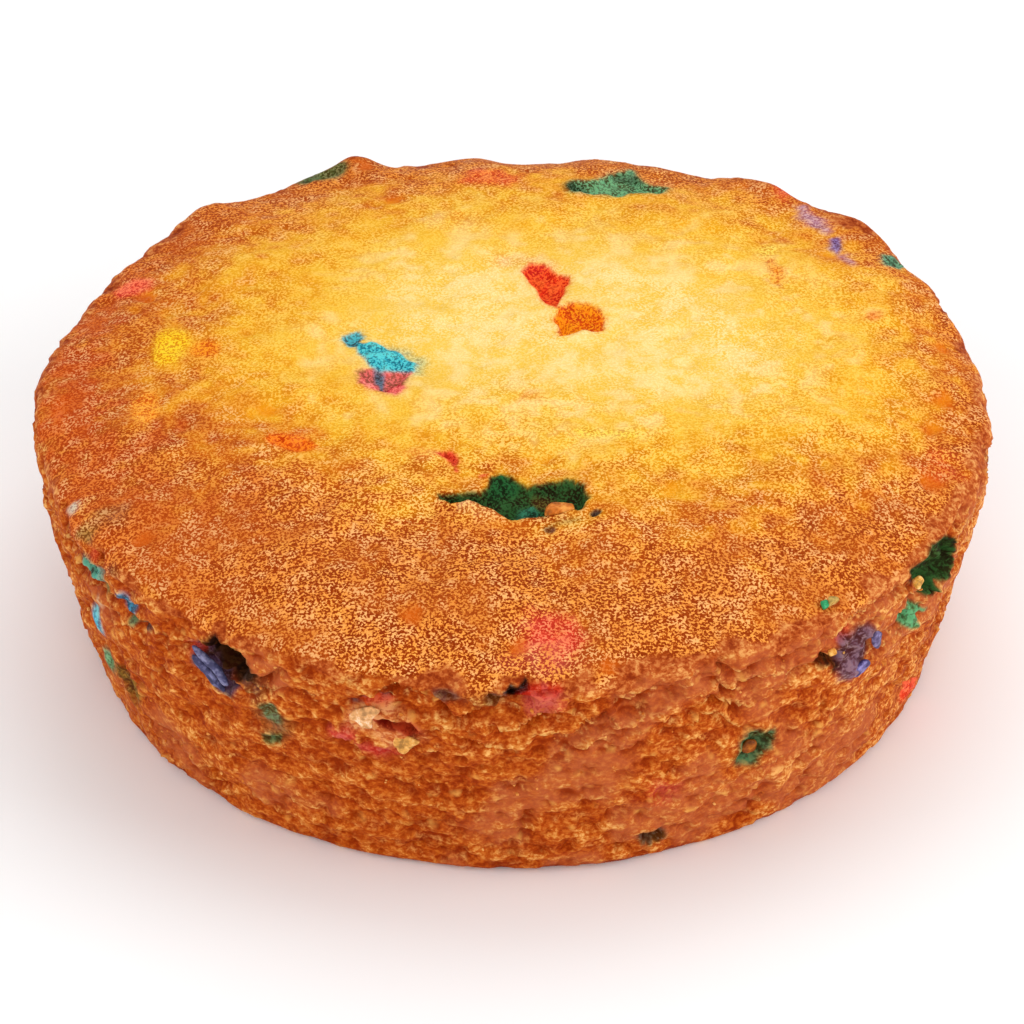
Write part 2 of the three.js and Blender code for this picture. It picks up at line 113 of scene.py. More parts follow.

# ---------------------------------------------------------------- colours

# Skin by how browned it is: painted shade for its hollows, its own colour, and painted highlight for
# the grains that stand up.
SKIN_DEEP = [(0, "#F0BC44"), (0.4, "#DC8A04"), (0.75, "#A43C00"), (0.9, "#8E2E00"), (1, "#9C3204")]
SKIN_MIDDLE = [
    (0, "#F6CC62"), (0.25, "#F4BE3C"), (0.4, "#F0B024"), (0.55, "#E8961A"), (0.75, "#D06608"),
    (0.9, "#BE5812"), (1, "#C04A0E"),
]
SKIN_LIGHT = [
    (0, "#FFE39A"), (0.2, "#FFD468"), (0.4, "#FFCC5C"), (0.75, "#FFB24E"), (0.9, "#F8A044"),
    (1, "#F08438"),
]
# painted highlight on the grains of the browned skin
CREAMY_HIGHLIGHT = "#FFD89C"
PALE_BLOTCH, YELLOW_BLOTCH = "#FFE6A8", "#F2BE2C"    # marbling of the middle of the top
SMOOTH_DENT = [(0.2, "#F4BC30"), (0.5, "#EE9A10"), (0.8, "#DC6808"), (1, "#C85410")]

# The rim's bare roll and the torn crumb, by a tone that runs from painted shade in their hollows (-1)
# to painted highlight on what catches the light (1).
RIM_ROLL = [(-1, "#842A06"), (-0.4, "#9C3E10"), (0, "#B04E1C"), (0.5, "#C66C32"), (1.2, "#E49E58")]
TORN_CRUMB = [
    (-1, "#8A2A00"), (-0.5, "#A03A02"), (0, "#B44E12"), (0.4, "#C4621A"), (0.8, "#D88538"),
    (1.2, "#EFB064"),
]
ROSY_CRUMB = "#B65C34"       # redder patches of it
GLINT = "#F0B868"            # where its ledges catch the light
GOLDEN_BIT = "#ECA850"       # dry bits set in it

# Painted shade: dye is drawn darker by this, squared, for the crumb's hollows, and once in its random
# darker mottles.
DYE_SHADE = (0.85, 0.68, 0.68)    # how much darker dye is in the crumb's hollows

GREEN, DEEP_GREEN, TEAL, CYAN, PURPLE = "#1F4D20", "#16401C", "#3E8F72", "#1FA3C9", "#4C4488"
RED, PINK, ORANGE, YELLOW = "#E8351A", "#F04858", "#EE7006", "#F6C41A"
# the first of these is painted near black, as shade in pits
SHADED_CAVITY, OLIVE, CHIP = "#2A1206", "#6A5424", "#C9A455"

# Every point has three tones: painted shade for its hollows, the middle tone, and painted highlight for
# the grains that catch the light.
DEEP, MIDDLE, LIGHT = range(3)

# ---------------------------------------------------------------- where the confetti lies
#
# On the top a place is x, y; on the side it is an angle and a height. The shape of a spot is an
# outline, or an oval: its place, length, width and the turn of its length away from x, or from the
# way round. hue is its dye, strength how much of the crumb's own colour that hides, soft how far it
# bleeds and fleck its paler crystals. deep is the pit it left, wall how far the pit's side takes to
# fall, lean which way its floor falls and lip the crust raised round it; rise is a flake that
# stands up, and sunk dye shows in a pit only.


def spot(shape, hue, strength, soft, fleck=None, **relief):
    """A spot as the tables write it, with its values by name."""
    made = dict(relief, hue=hue, strength=strength, soft=soft)
    if fleck:
        made["fleck"] = fleck
    if isinstance(shape, list):
        made["outline"] = shape
    else:
        made.update(place=shape[:2], size=shape[2:])
    return made


TOP_SPOTS = [
    # dark green fissure in the front half of the top, with a lip of speckled crust at its left
    spot([(-6.8, -20.8), (-5, -20.7), (-2.9, -20.4), (-1.8, -18.2), (-0.1, -17.9), (1, -19.5),
          (2.8, -19.4), (4.6, -18.9), (6.3, -19.8), (6.8, -21.9), (5.9, -23.3), (2.8, -24),
          (-0.5, -23.9), (-1.8, -22.6), (-4.1, -21.9), (-5.7, -21.9)],
         "#0C2A10", 0.98, 0.15, "#1E5A2C", deep=2, wall=0.4, lip=0.3, lean=(0, -1)),
    spot([(0.6, -21.5), (1.6, -21), (2.6, -21.9), (2.7, -23.9), (0.6, -24), (-0.2, -23.2)],
         "#143C28", 0.85, 0.3, "#3A8466", rise=0.4, sunk=True),
    spot((-1, -19.2, 3.2, 2, 25), "#103416", 0.8, 0.4, "#1E5E30", rise=0.7, sunk=True),
    spot((2.6, -20.6, 2.4, 1.2), "#5A3A10", 0.6, 0.4, "#8A5A1C", sunk=True),
    spot([(-5.3, -22.5), (-4.1, -21.9), (-2.9, -22), (-1.8, -22.7), (-0.8, -23.8), (-1.8, -24.2),
          (-4.5, -23.6)],
         "#D98A40", 0.6, 0.3, "#FAD090", rise=0.45),
    # blue flake, its dark tail, and the wedge in front of it, painted dark as shade in its middle, with
    # pink on both sides
    spot([(-14.3, -0.7), (-13.1, 0), (-11.5, -0.7), (-9.7, -0.5), (-10.3, -1.8), (-10.5, -3.9),
          (-11, -4.6), (-12.2, -3.7), (-14.3, -2.6)],
         "#A0404C", 0.9, 0.3, "#F0586A", deep=0.9, wall=0.6),
    spot([(-11.6, 3.6), (-9.8, 3.3), (-8.1, 1.1), (-8.2, -0.9), (-9.3, -0.9), (-9.3, 1.1)],
         "#5AA894", 0.6, 0.5, "#A0C490"),
    spot([(-14.8, 4.4), (-13, 4), (-11.4, 3.3), (-9.3, 1.1), (-9.3, -0.4), (-10.1, -0.5), (-12.3, -0.5),
          (-13.1, 0), (-14.1, 1.1), (-14.6, 2.6)],
         "#16A8C2", 0.99, 0.2, "#56D0D2", rise=0.35),
    spot([(-16.1, 5), (-15.5, 5.5), (-14.9, 5.8), (-14.4, 5), (-14.6, 3.7), (-15.6, 3.7)],
         "#17687E", 0.95, 0.2, "#2FB4C4", deep=0.5, wall=0.4),
    spot([(-14.3, -2.1), (-13.8, -1.6), (-13.2, -2.3), (-12.2, -3.7), (-13.4, -3.4)],
         "#F25468", 0.97, 0.25, "#FF9888", rise=0.3),
    spot([(-11.9, -3.6), (-11.1, -2.3), (-10.5, -2.3), (-10.6, -4.4), (-11, -4.6)],
         "#E83A50", 0.97, 0.2, "#FF7A70", rise=0.3),
    # painted shade in the middle of the wedge
    spot([(-13.2, 0), (-11.9, -0.8), (-12, -3.2), (-12.2, -3.6), (-12.8, -1.8)],
         "#2A5260", 0.9, 0.2, "#3A8298"),
    # red pocket behind the middle, and the orange one against it
    spot([(0.8, 16.5), (1.6, 17.6), (2.7, 17.6), (3.9, 15.8), (5.3, 15.2), (4.7, 13.8), (4.6, 12.1),
          (3.8, 9.7), (2.9, 11.6), (2.1, 13.8)],
         "#F02C10", 0.98, 0.2, "#FF6A28", deep=1.9, wall=0.35, lip=0.35, lean=(-0.5, -0.8)),
    spot([(4.1, 9.5), (5.7, 10.3), (6.7, 10.1), (7.9, 9.2), (8.4, 7.5), (8.3, 6), (6.4, 5.8),
          (4.6, 4.8), (4.2, 6.9)],
         "#F46A04", 0.98, 0.2, "#FFA410", deep=1.9, wall=0.35, lip=0.35, lean=(-0.7, -0.7)),
    spot((1, 18.2, 7, 1.6, -10), PINK, 0.3, 1.2),
    # green pocket at the back, with a red stain left of it
    spot([(5.4, 33.9), (6.2, 35.1), (7.6, 35.2), (9, 36.2), (10.2, 37.8), (11.6, 38.7), (13.1, 35.3),
          (15.1, 34.9), (15, 33.7), (11.4, 32.9), (9, 32.4), (5.8, 32.7)],
         "#2C6A44", 0.93, 0.45, "#5CB080", deep=1.1, wall=0.5, lip=0.2, lean=(0, -1)),
    spot((6.2, 33.9, 3, 2.2), DEEP_GREEN, 0.9, 0.4),
    spot((11.4, 37.6, 3.6, 1.6), GREEN, 0.8, 0.5),
    spot([(-5.4, 37), (-3.7, 38.2), (-1.5, 37.6), (1, 36), (0.2, 33.9), (-2.6, 33.8), (-5.1, 35)],
         RED, 0.7, 1, "#FF7A40"),
    # yellow and orange spots on the left
    spot((-32.4, 5, 3.6, 6.6), "#FFC408", 0.97, 0.4, "#FFD42C"),
    spot((-28.9, 3.8, 3, 3), "#F27C04", 0.97, 0.4, "#FFA020"),
    spot((-34.4, -5, 3, 6), "#F68C14", 0.95, 0.6, "#FFB040"),
    spot((-42.5, -3, 2.2, 5), ORANGE, 0.65, 1),
    # orange slit, tiny red slit
    spot((-20.5, -12.2, 4.6, 1.9, -20), "#EC6206", 0.97, 0.3, "#FF9018", deep=0.6, wall=0.6),
    spot((-20.2, -11.4, 5.6, 3.2), ORANGE, 0.4, 1),
    spot([(-7, -14.6), (-5.6, -14.4), (-5.2, -15.6), (-5, -17.2), (-5.6, -15.9)],
         "#D8281C", 0.95, 0.2, "#F04A30", deep=0.5, wall=0.4),
    spot((-2.5, -18, 0.9, 0.8), RED, 0.8, 0.3),
    spot((-8.2, -14.4, 3.4, 1.4, -15), PINK, 0.3, 0.9),
    # red spots and stains
    spot((-36.4, 18, 3.8, 3.6), "#EE4630", 0.95, 0.6, "#FF8058"),
    spot((-6.5, 26.5, 7, 2), PINK, 0.18, 1.6),
    spot((1.6, -5.6, 3, 1.6, 20), PINK, 0.35, 0.8),
    spot((3.2, -39.2, 5.6, 4.4), "#EC4A36", 0.88, 1.3, "#F87A5A"),
    spot((2.8, -42, 6, 3), "#E05A50", 0.4, 1.6),
    spot((26.6, 35.2, 5, 2.6, -35), RED, 0.65, 0.9),
    # yellow patch and streak, orange streak
    spot((8.6, -11.4, 7.4, 2, -3), "#FBD020", 0.75, 0.7, "#FFE45A"),
    spot((6.8, 26.4, 3.2, 3), YELLOW, 0.4, 1),
    spot([(23.4, 22.4), (24.3, 23.3), (25.8, 23.4), (25.6, 21.9), (24.4, 20.5), (23.7, 20.6)],
         "#FBCB28", 0.85, 0.4, "#FFE870"),
    spot([(24.2, 19.8), (25.3, 20.4), (25.8, 17.8), (25.5, 14.7), (24.7, 15.9)],
         "#F08A18", 0.9, 0.5, "#FFB048"),
    spot((34.2, 11, 1.8, 1.4), ORANGE, 0.75, 0.5),
    spot((26.2, 25, 2.6, 1.2), "#D8741C", 0.6, 0.5),
    spot((39.3, -12, 3, 5), RED, 0.45, 1.2),
    # lavender, violet and mauve streak at the right of the rim
    spot([(27.7, 32.4), (28.6, 32.7), (29.4, 30.3), (30.3, 28.6), (30.4, 26.8), (29.7, 26.7),
          (28.9, 28.4), (28, 29.8)],
         "#9A78A0", 0.75, 0.5, "#C4A8C8"),
    spot([(30.4, 25.6), (31.2, 26), (31.6, 24.5), (31.2, 23.3), (30.5, 24)],
         "#5C4C92", 0.9, 0.3, "#8476B8"),
    spot([(31.2, 23), (32.1, 23.1), (32.7, 20.8), (32.4, 19.9), (31.6, 21.3)],
         "#9A6A98", 0.75, 0.4, "#B890B8"),
    # teal bit on the rim, green bit at the back left
    spot([(35.5, 23.7), (36.3, 24), (37.1, 23.1), (37.9, 22.8), (37, 21.6), (35.9, 22)],
         "#2F8468", 0.9, 0.3, "#56B090", deep=0.5, wall=0.5),
    spot((-18.6, 39, 4.4, 1.8, 12), "#2E6A34", 0.85, 0.5, deep=0.7, wall=0.5),
    # olive smear on the left, burnt specks round the fissure
    spot((-36.8, -20.4, 3.6, 3.2), OLIVE, 0.45, 0.9),
    spot((7.4, -23.8, 0.9, 0.7), "#201004", 0.95, 0.12, deep=0.6, wall=0.3),
    spot((3.3, -25.8, 0.8, 0.7), "#5A2A08", 0.85, 0.15, deep=0.3, wall=0.3),
    spot((4.8, -24.9, 3.2, 0.8, 6), "#6A5A20", 0.6, 0.35),
    spot((-3.4, -22.3, 4.2, 0.5, -14), "#4A4A18", 0.6, 0.3),
]

SIDE_SPOTS = [
    # dark slit of the purple flake, painted near black as shade
    spot([(-131.2, 20.6), (-129.4, 21.6), (-126.4, 20), (-124.8, 17.8), (-125.8, 16.6), (-128, 16.8),
          (-131, 18.4)],
         "#1E1824", 0.9, 0.3, "#3A3450", deep=0.8, wall=0.5),
    # cavity over the purple flake, painted near black as shade, its golden lip, the red crumb left of
    # it, and its painted shadow spreading below
    spot([(-128.5, 22.1), (-126.6, 23.2), (-125, 22.7), (-123.7, 22.4), (-121.8, 21.2), (-122.4, 19.8),
          (-124.2, 18.8), (-125.4, 19.4), (-127.6, 20.8)],
         "#1C0C04", 0.99, 0.45, "#3A1C08", deep=2.2, wall=0.5, lip=0.2),
    spot((-122.9, 23, 2.2, 0.5, -14), "#EDA040", 0.8, 0.25),
    spot([(-132.5, 20.5), (-130.2, 21.6), (-130.2, 20.3), (-132.3, 19.2)], "#D8401C", 0.7, 0.5),
    # painted shadow of the cavity, spreading down below it
    spot((-122.4, 18.8, 3.4, 3), "#3A2008", 0.65, 1),
    # green bits below it
    spot([(-120.9, 16.9), (-119.4, 17.6), (-118.7, 16.6), (-119.3, 15.4), (-120.5, 15.6)],
         "#1F6A44", 0.85, 0.3, "#4A9A70", deep=0.4, wall=0.4),
    # olive painted shade of the cavity, blurring down over the green bits
    spot((-119.8, 15.6, 3.6, 4.2), OLIVE, 0.62, 0.9),
    spot([(-121.3, 13.2), (-119.3, 13.8), (-119.7, 12.9), (-121.3, 12.5)],
         DEEP_GREEN, 0.85, 0.3, "#2C6A44", deep=0.5, wall=0.4),
    # cream crumb with red round it, a slit through it in red darkened as painted shade, and two holes
    # above painted dark as shade
    spot([(-110.9, 17.1), (-108.9, 19.5), (-107.7, 20.6), (-104.8, 20.7), (-101, 18.6), (-100.4, 17.4),
          (-103.2, 15.4), (-106.8, 17)],
         "#DA8442", 0.75, 0.5, "#EEB074"),
    spot([(-106.4, 19.1), (-103.3, 19.2), (-101.7, 19), (-101, 18.2), (-102, 17.6), (-103.1, 18.2),
          (-105, 18.5)],
         "#8A1C08", 0.95, 0.2, "#B03010", deep=1.4, wall=0.35, lip=0.2),
    spot([(-108.9, 20.9), (-107.1, 21.4), (-107.1, 20.9), (-108.6, 20.5)],
         "#5A1C04", 0.9, 0.2, deep=1.1, wall=0.35),
    spot([(-105.7, 21.4), (-104.3, 21.7), (-104.4, 21.4), (-105.6, 21.1)],
         "#5A1C04", 0.9, 0.2, deep=0.9, wall=0.3),
    spot((-106, 21, 3.4, 0.7, 6), "#F0561C", 0.75, 0.35),
    spot((-110.5, 16.6, 2.4, 2), "#CC3C38", 0.8, 0.6),
    spot((-106.4, 15.1, 4.4, 1.5, -4), "#BE2A24", 0.88, 0.5),
    # black hole and brown holes, painted dark as shade, with a pink crumb and a red line, under the
    # front rim
    spot([(-90.9, 23.6), (-90.4, 24.2), (-89.6, 24), (-88.8, 24.4), (-88.3, 23.8), (-89.4, 23.4)],
         "#140802", 0.97, 0.12, deep=1.5, wall=0.3),
    spot((-86.9, 23.6, 3.4, 0.7, 4), "#D02C18", 0.75, 0.3, deep=0.6, wall=0.35),
    spot((-86.4, 22.4, 3.6, 1.6), "#E4605A", 0.5, 0.8),
    spot((-97.6, 23.1, 2, 0.7), "#4A2408", 0.75, 0.3, deep=0.9, wall=0.35),
    spot((-91.8, 22.9, 1.8, 0.8), "#4A3414", 0.7, 0.3, deep=0.8, wall=0.35),
    spot((-94.4, 22.6, 2.6, 1.2), OLIVE, 0.4, 0.8),
    # dark purple flake on the right, between a cavity painted dark as shade, with gold crumb in it, and
    # a red patch
    spot([(-51.3, 19.1), (-49.6, 19.6), (-48.1, 19.7), (-48.1, 17.4), (-49.9, 18.2)],
         SHADED_CAVITY, 0.95, 0.3, "#6A2808", deep=1.6, wall=0.4),
    spot((-47.6, 21.2, 1.8, 1.3), "#B8381A", 0.75, 0.3, "#D8563A", deep=0.9, wall=0.4),
    spot([(-48.5, 20.6), (-46.3, 20.8), (-44.7, 21.6), (-42.2, 19.8), (-42.3, 18), (-43.2, 16.8),
          (-44.1, 15.3), (-45.6, 14.9), (-47.5, 15.9), (-48.1, 18.2)],
         "#3C2634", 0.9, 0.4, "#7A6478", rise=0.35),
    # deep green pocket near the right edge, and the green bit below it
    spot([(-35.6, 23.4), (-32.7, 23.5), (-30.6, 24.1), (-28.1, 23.9), (-24.1, 21.1), (-23, 19.3),
          (-24.4, 17.7), (-28, 18.7), (-27.6, 17), (-30.8, 18.5), (-32.7, 20.9), (-34.5, 22.1)],
         "#0E2E10", 0.97, 0.25, "#1F5426", deep=1.8, wall=0.6, lip=0.25),
    spot([(-36.7, 18.8), (-34.3, 18.7), (-31.7, 18), (-29.5, 16.1), (-32.7, 17.1), (-31, 14.7),
          (-34.1, 15.8), (-36, 17.3)],
         "#25804A", 0.9, 0.3, "#4FAE78", rise=0.3),
    # green pit, with a crumb in it
    spot([(-62.4, 11.8), (-61.4, 13.2), (-59.6, 13.8), (-57, 12.8), (-56.8, 11.4), (-58.7, 10.6),
          (-59.4, 9.9), (-61.5, 10.3)],
         "#18401E", 0.9, 0.45, "#3A7850", deep=1.3, wall=0.5, lip=0.15),
    # hole at the foot, painted dark as shade, and a faint red stain above
    spot((-72.2, 3.4, 2.6, 1.9), "#4A2C06", 0.9, 0.3, deep=1.3, wall=0.5),
    spot((-71.6, 9.4, 4, 2.6), "#D0342C", 0.45, 1),
    # red at the right edge
    spot([(-28.8, 4.4), (-26.8, 6), (-24, 4.6), (-20, 2.8), (-20.6, 1.6), (-25, 2.4)],
         RED, 0.85, 0.5, "#FF6A48"),
    # blue and green bits on the left
    spot((-155.9, 24.5, 1.6, 0.7), "#C8D4C0", 0.7, 0.3),
    spot((-150.4, 24.1, 2.2, 1.2), "#6E7430", 0.65, 0.5),
    spot((-148.8, 23.2, 1.8, 1.2), "#E0501C", 0.7, 0.4),
    spot((-150.3, 21.3, 3, 1.6), "#1F6458", 0.9, 0.3, "#46A890", deep=0.6, wall=0.4),
    spot((-148, 21.2, 1.6, 1.4), "#3AA08C", 0.8, 0.35),
    spot((-143.9, 24, 2, 0.8), "#4A3010", 0.6, 0.4),
    spot((-147.4, 20, 2.2, 1.2), "#5C7A34", 0.7, 0.4),
    spot((-142.5, 20.6, 2.2, 2.2), "#1A6A88", 0.9, 0.3, CYAN, deep=0.5, wall=0.5),
    spot((-141.9, 18.6, 1.2, 1), "#2E7A48", 0.8, 0.3),
    # a small pit painted dark as shade
    spot((-139.3, 19.9, 1.8, 0.7), SHADED_CAVITY, 0.8, 0.3, deep=0.7, wall=0.3),
    spot((-152.9, 13.2, 2.2, 3), CYAN, 0.9, 0.35, "#66D8E0", rise=0.3),
    spot((-150.5, 16.9, 1.4, 1), "#D8C8A0", 0.6, 0.4),
    spot((-153.3, 8.2, 2.4, 2.4), "#2E8A5C", 0.85, 0.4, "#5CB488"),
    spot((-148.5, 8, 3.8, 3), "#3A4016", 0.75, 0.7, "#6A6A2C", deep=0.6, wall=0.6),
]

# On the far side, which is finished like the near one: hues in the order that they go round.
FAR_HUES = [
    RED, "#25804A", PURPLE, ORANGE, DEEP_GREEN, PINK, CYAN, YELLOW, PURPLE, DEEP_GREEN, RED, TEAL,
]
FAR_SEED = 31
FAR_START, FAR_EXTENT = 2, 192    # the angles that they are spread over

# Pieces that stand clear of the crumb: name, whether it is on the side, colour and its paler
# crystals, thickness, how high its middle lies above the plain crust, and its outline.
FLAKES = [
    ("crumb_in_fissure", False, "#D07020", "#F0A048", 1.4, -0.35,
     [(2.8, -22.8), (3.5, -22.2), (4.8, -22), (5.5, -22.4), (5.6, -23.4), (4.3, -23.8), (2.8, -24.1)]),
    ("purple_ridge_upper", True, "#48466A", "#8482A4", 0.6, 0.1,
     [(-130.4, 21.4), (-129.2, 21.3), (-127.9, 20.4), (-126.4, 19.6), (-125.1, 18.4), (-125.7, 17.9),
      (-126.8, 18.9), (-128.3, 19.8), (-129.8, 20.6)]),
    ("purple_ridge_lower", True, "#444266", "#7C7AA2", 0.6, 0,
     [(-130.8, 19.9), (-129.8, 19.7), (-128.4, 18.8), (-127.2, 18), (-126.1, 17.4), (-126.5, 16.6),
      (-127.8, 17), (-129.2, 18), (-130.8, 19.1)]),
    ("cream_chip_upper", True, "#E6A668", "#FAE0BC", 0.5, 0.1,
     [(-109.6, 18.8), (-108.2, 20.2), (-106, 20.8), (-105.2, 20.4), (-106.5, 19.2), (-106.4, 18.2),
      (-107.2, 17.7), (-108.2, 18.2)]),
    ("cream_chip_lower", True, "#E2A04C", "#F8CC80", 0.5, 0.1,
     [(-104.3, 17.1), (-102.3, 17.6), (-100.6, 17.5), (-101.6, 16.6), (-102.8, 15.4), (-103.6, 15.6)]),
    ("lavender_ridge_upper", True, "#5A4C72", "#9C90BC", 0.5, 0.2,
     [(-43.3, 19.8), (-42.2, 19.9), (-41.1, 18.8), (-40.9, 17.5), (-41.8, 17.3), (-43.1, 18.5)]),
    ("lavender_ridge_lower", True, "#4A3E74", "#8E84BC", 0.5, 0.2,
     [(-46.2, 16.5), (-43.6, 17), (-42.3, 16), (-43.1, 15.1), (-45, 15)]),
    ("gold_bead_right", True, "#E0A040", "#F8D088", 0.6, 0.1,
     [(-35.4, 22.6), (-34.4, 22.8), (-33.5, 21.8), (-34.4, 21.2), (-35.3, 21.6)]),
    ("gold_crumb_right", True, "#D89030", "#F4C068", 0.5, -0.2,
     [(-50.2, 20.3), (-49.2, 20.4), (-48.9, 19.6), (-49.8, 19.4)]),
    ("tan_chip_front", False, CHIP, "#F0D898", 0.5, 0.15,
     [(28, -32.2), (28.9, -32.1), (29.3, -32.9), (28.8, -33.6), (28.1, -33.3)]),
    ("teal_end_of_chip", False, "#2F9A60", "#66C490", 0.45, 0.1,
     [(27.3, -32.8), (28, -32.5), (28.2, -33.4), (27.6, -33.6)]),
    ("crumb_in_green_pit", True, "#8C440C", "#B8681C", 0.5, -0.9,
     [(-60.8, 11.2), (-59.6, 12), (-58.3, 11.5), (-58.6, 10.6), (-60.2, 10.5)]),
]

# ---------------------------------------------------------------- unevenness


def smoothstep(value, low, high):
    share = np.clip((value - low) / (high - low), 0, 1)
    return share * share * (3 - 2 * share)


def lattice_value(cell):
    """A value from -1 to 1 for each point of a lattice."""
    i, j, k = (cell[:, axis].astype(np.int64).astype(np.uint32) for axis in range(3))
    mixed = i * np.uint32(0x9E3779B1) ^ j * np.uint32(0x85EBCA77) ^ k * np.uint32(0xC2B2AE3D)
    mixed = (mixed ^ (mixed >> np.uint32(15))) * np.uint32(0x2C1B3C6D)
    mixed = (mixed ^ (mixed >> np.uint32(12))) * np.uint32(0x297A2D39)
    return (mixed ^ (mixed >> np.uint32(15))) / 2147483647.5 - 1


def unevenness(points, span, shift=(0, 0, 0)):
    """Smooth unevenness from -1 to 1. span is the size of its waves, along each axis or all."""
    place = points / np.asarray(span, float) + np.asarray(shift, float)
    cell = np.floor(place)
    part = smoothstep(place - cell, 0, 1)
    total = np.zeros(len(points))
    for corner in itertools.product((0, 1), repeat=3):
        weight = np.prod(np.where(corner, part, 1 - part), axis=1)
        total += weight * lattice_value(cell + corner)
    return total


def scattered(points, span, seed):
    """Distance to the nearest of some scattered points, one to each cell of size span, as a share
    of the span, and a value from -1 to 1 that goes with that point."""
    place = points / np.asarray(span, float)
    home = np.floor(place)
    nearest = np.full(len(points), np.inf)
    value = np.zeros(len(points))
    for step in itertools.product((-1, 0, 1), repeat=3):
        cell = home + step
        centre = cell + 0.5
        for axis in range(3):
            centre[:, axis] += 0.45 * lattice_value(cell + (seed + 7 * axis, 0, 0))
        gap = np.linalg.norm(place - centre, axis=1)
        closer = gap < nearest
        nearest[closer] = gap[closer]
        value[closer] = lattice_value(cell[closer] + (seed, 5, 0))
    return nearest, value


def dots(points, span, seed, size, spread, edge, least, ragged=0):
    """Round marks scattered over the crust, from 0 to 1. size, spread and edge are their size, how
    much that differs and how they begin, as shares of span; least leaves the smaller ones out."""
    gap, value = scattered(points, span, seed)
    if ragged:
        gap += ragged * unevenness(points, 0.9, (12, 0, 0))
    return smoothstep(size + spread * value - gap, *edge) * (value > least)


# ---------------------------------------------------------------- the plain form


def crown_height(radius):
    return RIM_HEIGHT + CROWN_RISE * (1 - (radius / RIM_RADIUS) ** CROWN_FULLNESS)


def side_radius(height):
    share = np.clip((height - BASE_CORNER) / (RIM_HEIGHT - BASE_CORNER), 0, 1)
    cone = BASE_RADIUS + (RIM_RADIUS - BASE_RADIUS) * share
    return cone + SIDE_BULGE * np.sin(np.pi * share ** BULGE_SKEW)


def cake_outline():
    """Half outline from the middle of the top to the middle of the underside: radius, height and
    distance along it."""
    radius = np.linspace(0, RIM_RADIUS - RIM_ROUND, TOP_POINTS)
    top = np.stack([radius, crown_height(radius)], 1)
    height = np.linspace(RIM_HEIGHT - RIM_ROUND, BASE_CORNER, SIDE_POINTS)
    side = np.stack([side_radius(height), height], 1)
    t = np.linspace(0, 1, RIM_POINTS)[1:-1, None]
    rim_edge = np.array([RIM_RADIUS, RIM_HEIGHT])
    bend = (1 - t) ** 2 * top[-1] + 2 * t * (1 - t) * rim_edge + t * t * side[0]
    turn = np.linspace(0, np.pi / 2, FOOT_POINTS)[1:]
    foot = np.stack([BASE_RADIUS - BASE_CORNER * (1 - np.cos(turn)),
                     BASE_CORNER * (1 - np.sin(turn))], 1)
    line = np.concatenate([top, bend, side, foot, [[0, 0]]])
    steps = np.linalg.norm(np.diff(line, axis=0), axis=1)
    return np.column_stack([line, np.concatenate([[0], np.cumsum(steps)])])


# The outline, and the distances along it to its end, to the foot's edge and to the rim.
OUTLINE = cake_outline()
LENGTH = OUTLINE[-1, 2]
FOOT = LENGTH - (BASE_RADIUS - BASE_CORNER)
RIM = OUTLINE[np.argmin(np.hypot(OUTLINE[:, 0] - RIM_RADIUS, OUTLINE[:, 1] - RIM_HEIGHT)), 2]


def outline_at(along):
    return (np.interp(along, OUTLINE[:, 2], OUTLINE[:, 0]),
            np.interp(along, OUTLINE[:, 2], OUTLINE[:, 1]))


class Crust:
    """Places on the plain form: their angle and distance along the outline, where they are, and
    the directions outwards and off the surface."""

    def __init__(self, angle, along):
        self.angle = np.asarray(angle, float)
        self.along = np.asarray(along, float)
        radius, height = outline_at(self.along)
        ahead = outline_at(np.minimum(self.along + 0.05, LENGTH))
        behind = outline_at(np.maximum(self.along - 0.05, 0))
        slope = np.stack([ahead[0] - behind[0], ahead[1] - behind[1]], 1)
        slope /= np.linalg.norm(slope, axis=1)[:, None]
        turn = np.radians(self.angle)
        flat = np.zeros(len(turn))
        self.outwards = np.stack([np.cos(turn), np.sin(turn), flat], 1)
        self.normal = self.outwards * -slope[:, 1:2] + [[0, 0, 1]] * slope[:, 0:1]
        self.plain = self.outwards * radius[:, None] + np.stack([flat, flat, height], 1)


def crust_from_points(points):
    """The same for points that lie on the plain form, found by their bearing from inside it."""
    bearing = np.arctan2(OUTLINE[:, 1] - INSIDE[1], OUTLINE[:, 0] - INSIDE[0])
    radius = np.hypot(points[:, 0], points[:, 1])
    own = np.arctan2(points[:, 2] - INSIDE[1], radius - INSIDE[0])
    along = np.interp(-own, -bearing, OUTLINE[:, 2])
    return Crust(np.degrees(np.arctan2(points[:, 1], points[:, 0])), along)


# ---------------------------------------------------------------- spots


def turned_from(angle, middle):
    """Angles measured from a middle one, from -180 to 180."""
    return (angle - middle + 180) % 360 - 180


def towards(crust, middle, width):
    """1 at an angle round the cake, falling towards 0 over a width on both sides of it."""
    return np.exp(-((turned_from(crust.angle, middle) / width) ** 2))


def rounded_outline(long, wide, turn=0):
    """Corners of an oval of that length and width, its length turned from the first axis."""
    cos, sin = math.cos(math.radians(turn)), math.sin(math.radians(turn))
    corners = []
    for corner in range(OVAL_CORNERS):
        way = 2 * math.pi * corner / OVAL_CORNERS
        u, v = 0.5 * long * math.cos(way), 0.5 * wide * math.sin(way)
        corners.append((u * cos - v * sin, u * sin + v * cos))
    return np.array(corners)


def spot_plane(mark, crust, on_side):
    """Every place, and the spot's outline, in the plane of the spot, in mm."""
    places = crust.plain[:, :2]
    centre = mark.get("place")
    corners = np.array(mark.get("outline", []), float)
    if on_side:
        to_mm = math.radians(1) * RIM_RADIUS
        middle = centre[0] if centre else corners[0, 0]
        places = np.stack([turned_from(crust.angle, middle) * to_mm, crust.plain[:, 2]], 1)
        if centre:
            centre = (0, centre[1])
        else:
            corners = np.stack([(corners[:, 0] - middle) * to_mm, corners[:, 1]], 1)
    return places, rounded_outline(*mark["size"]) + centre if centre else corners


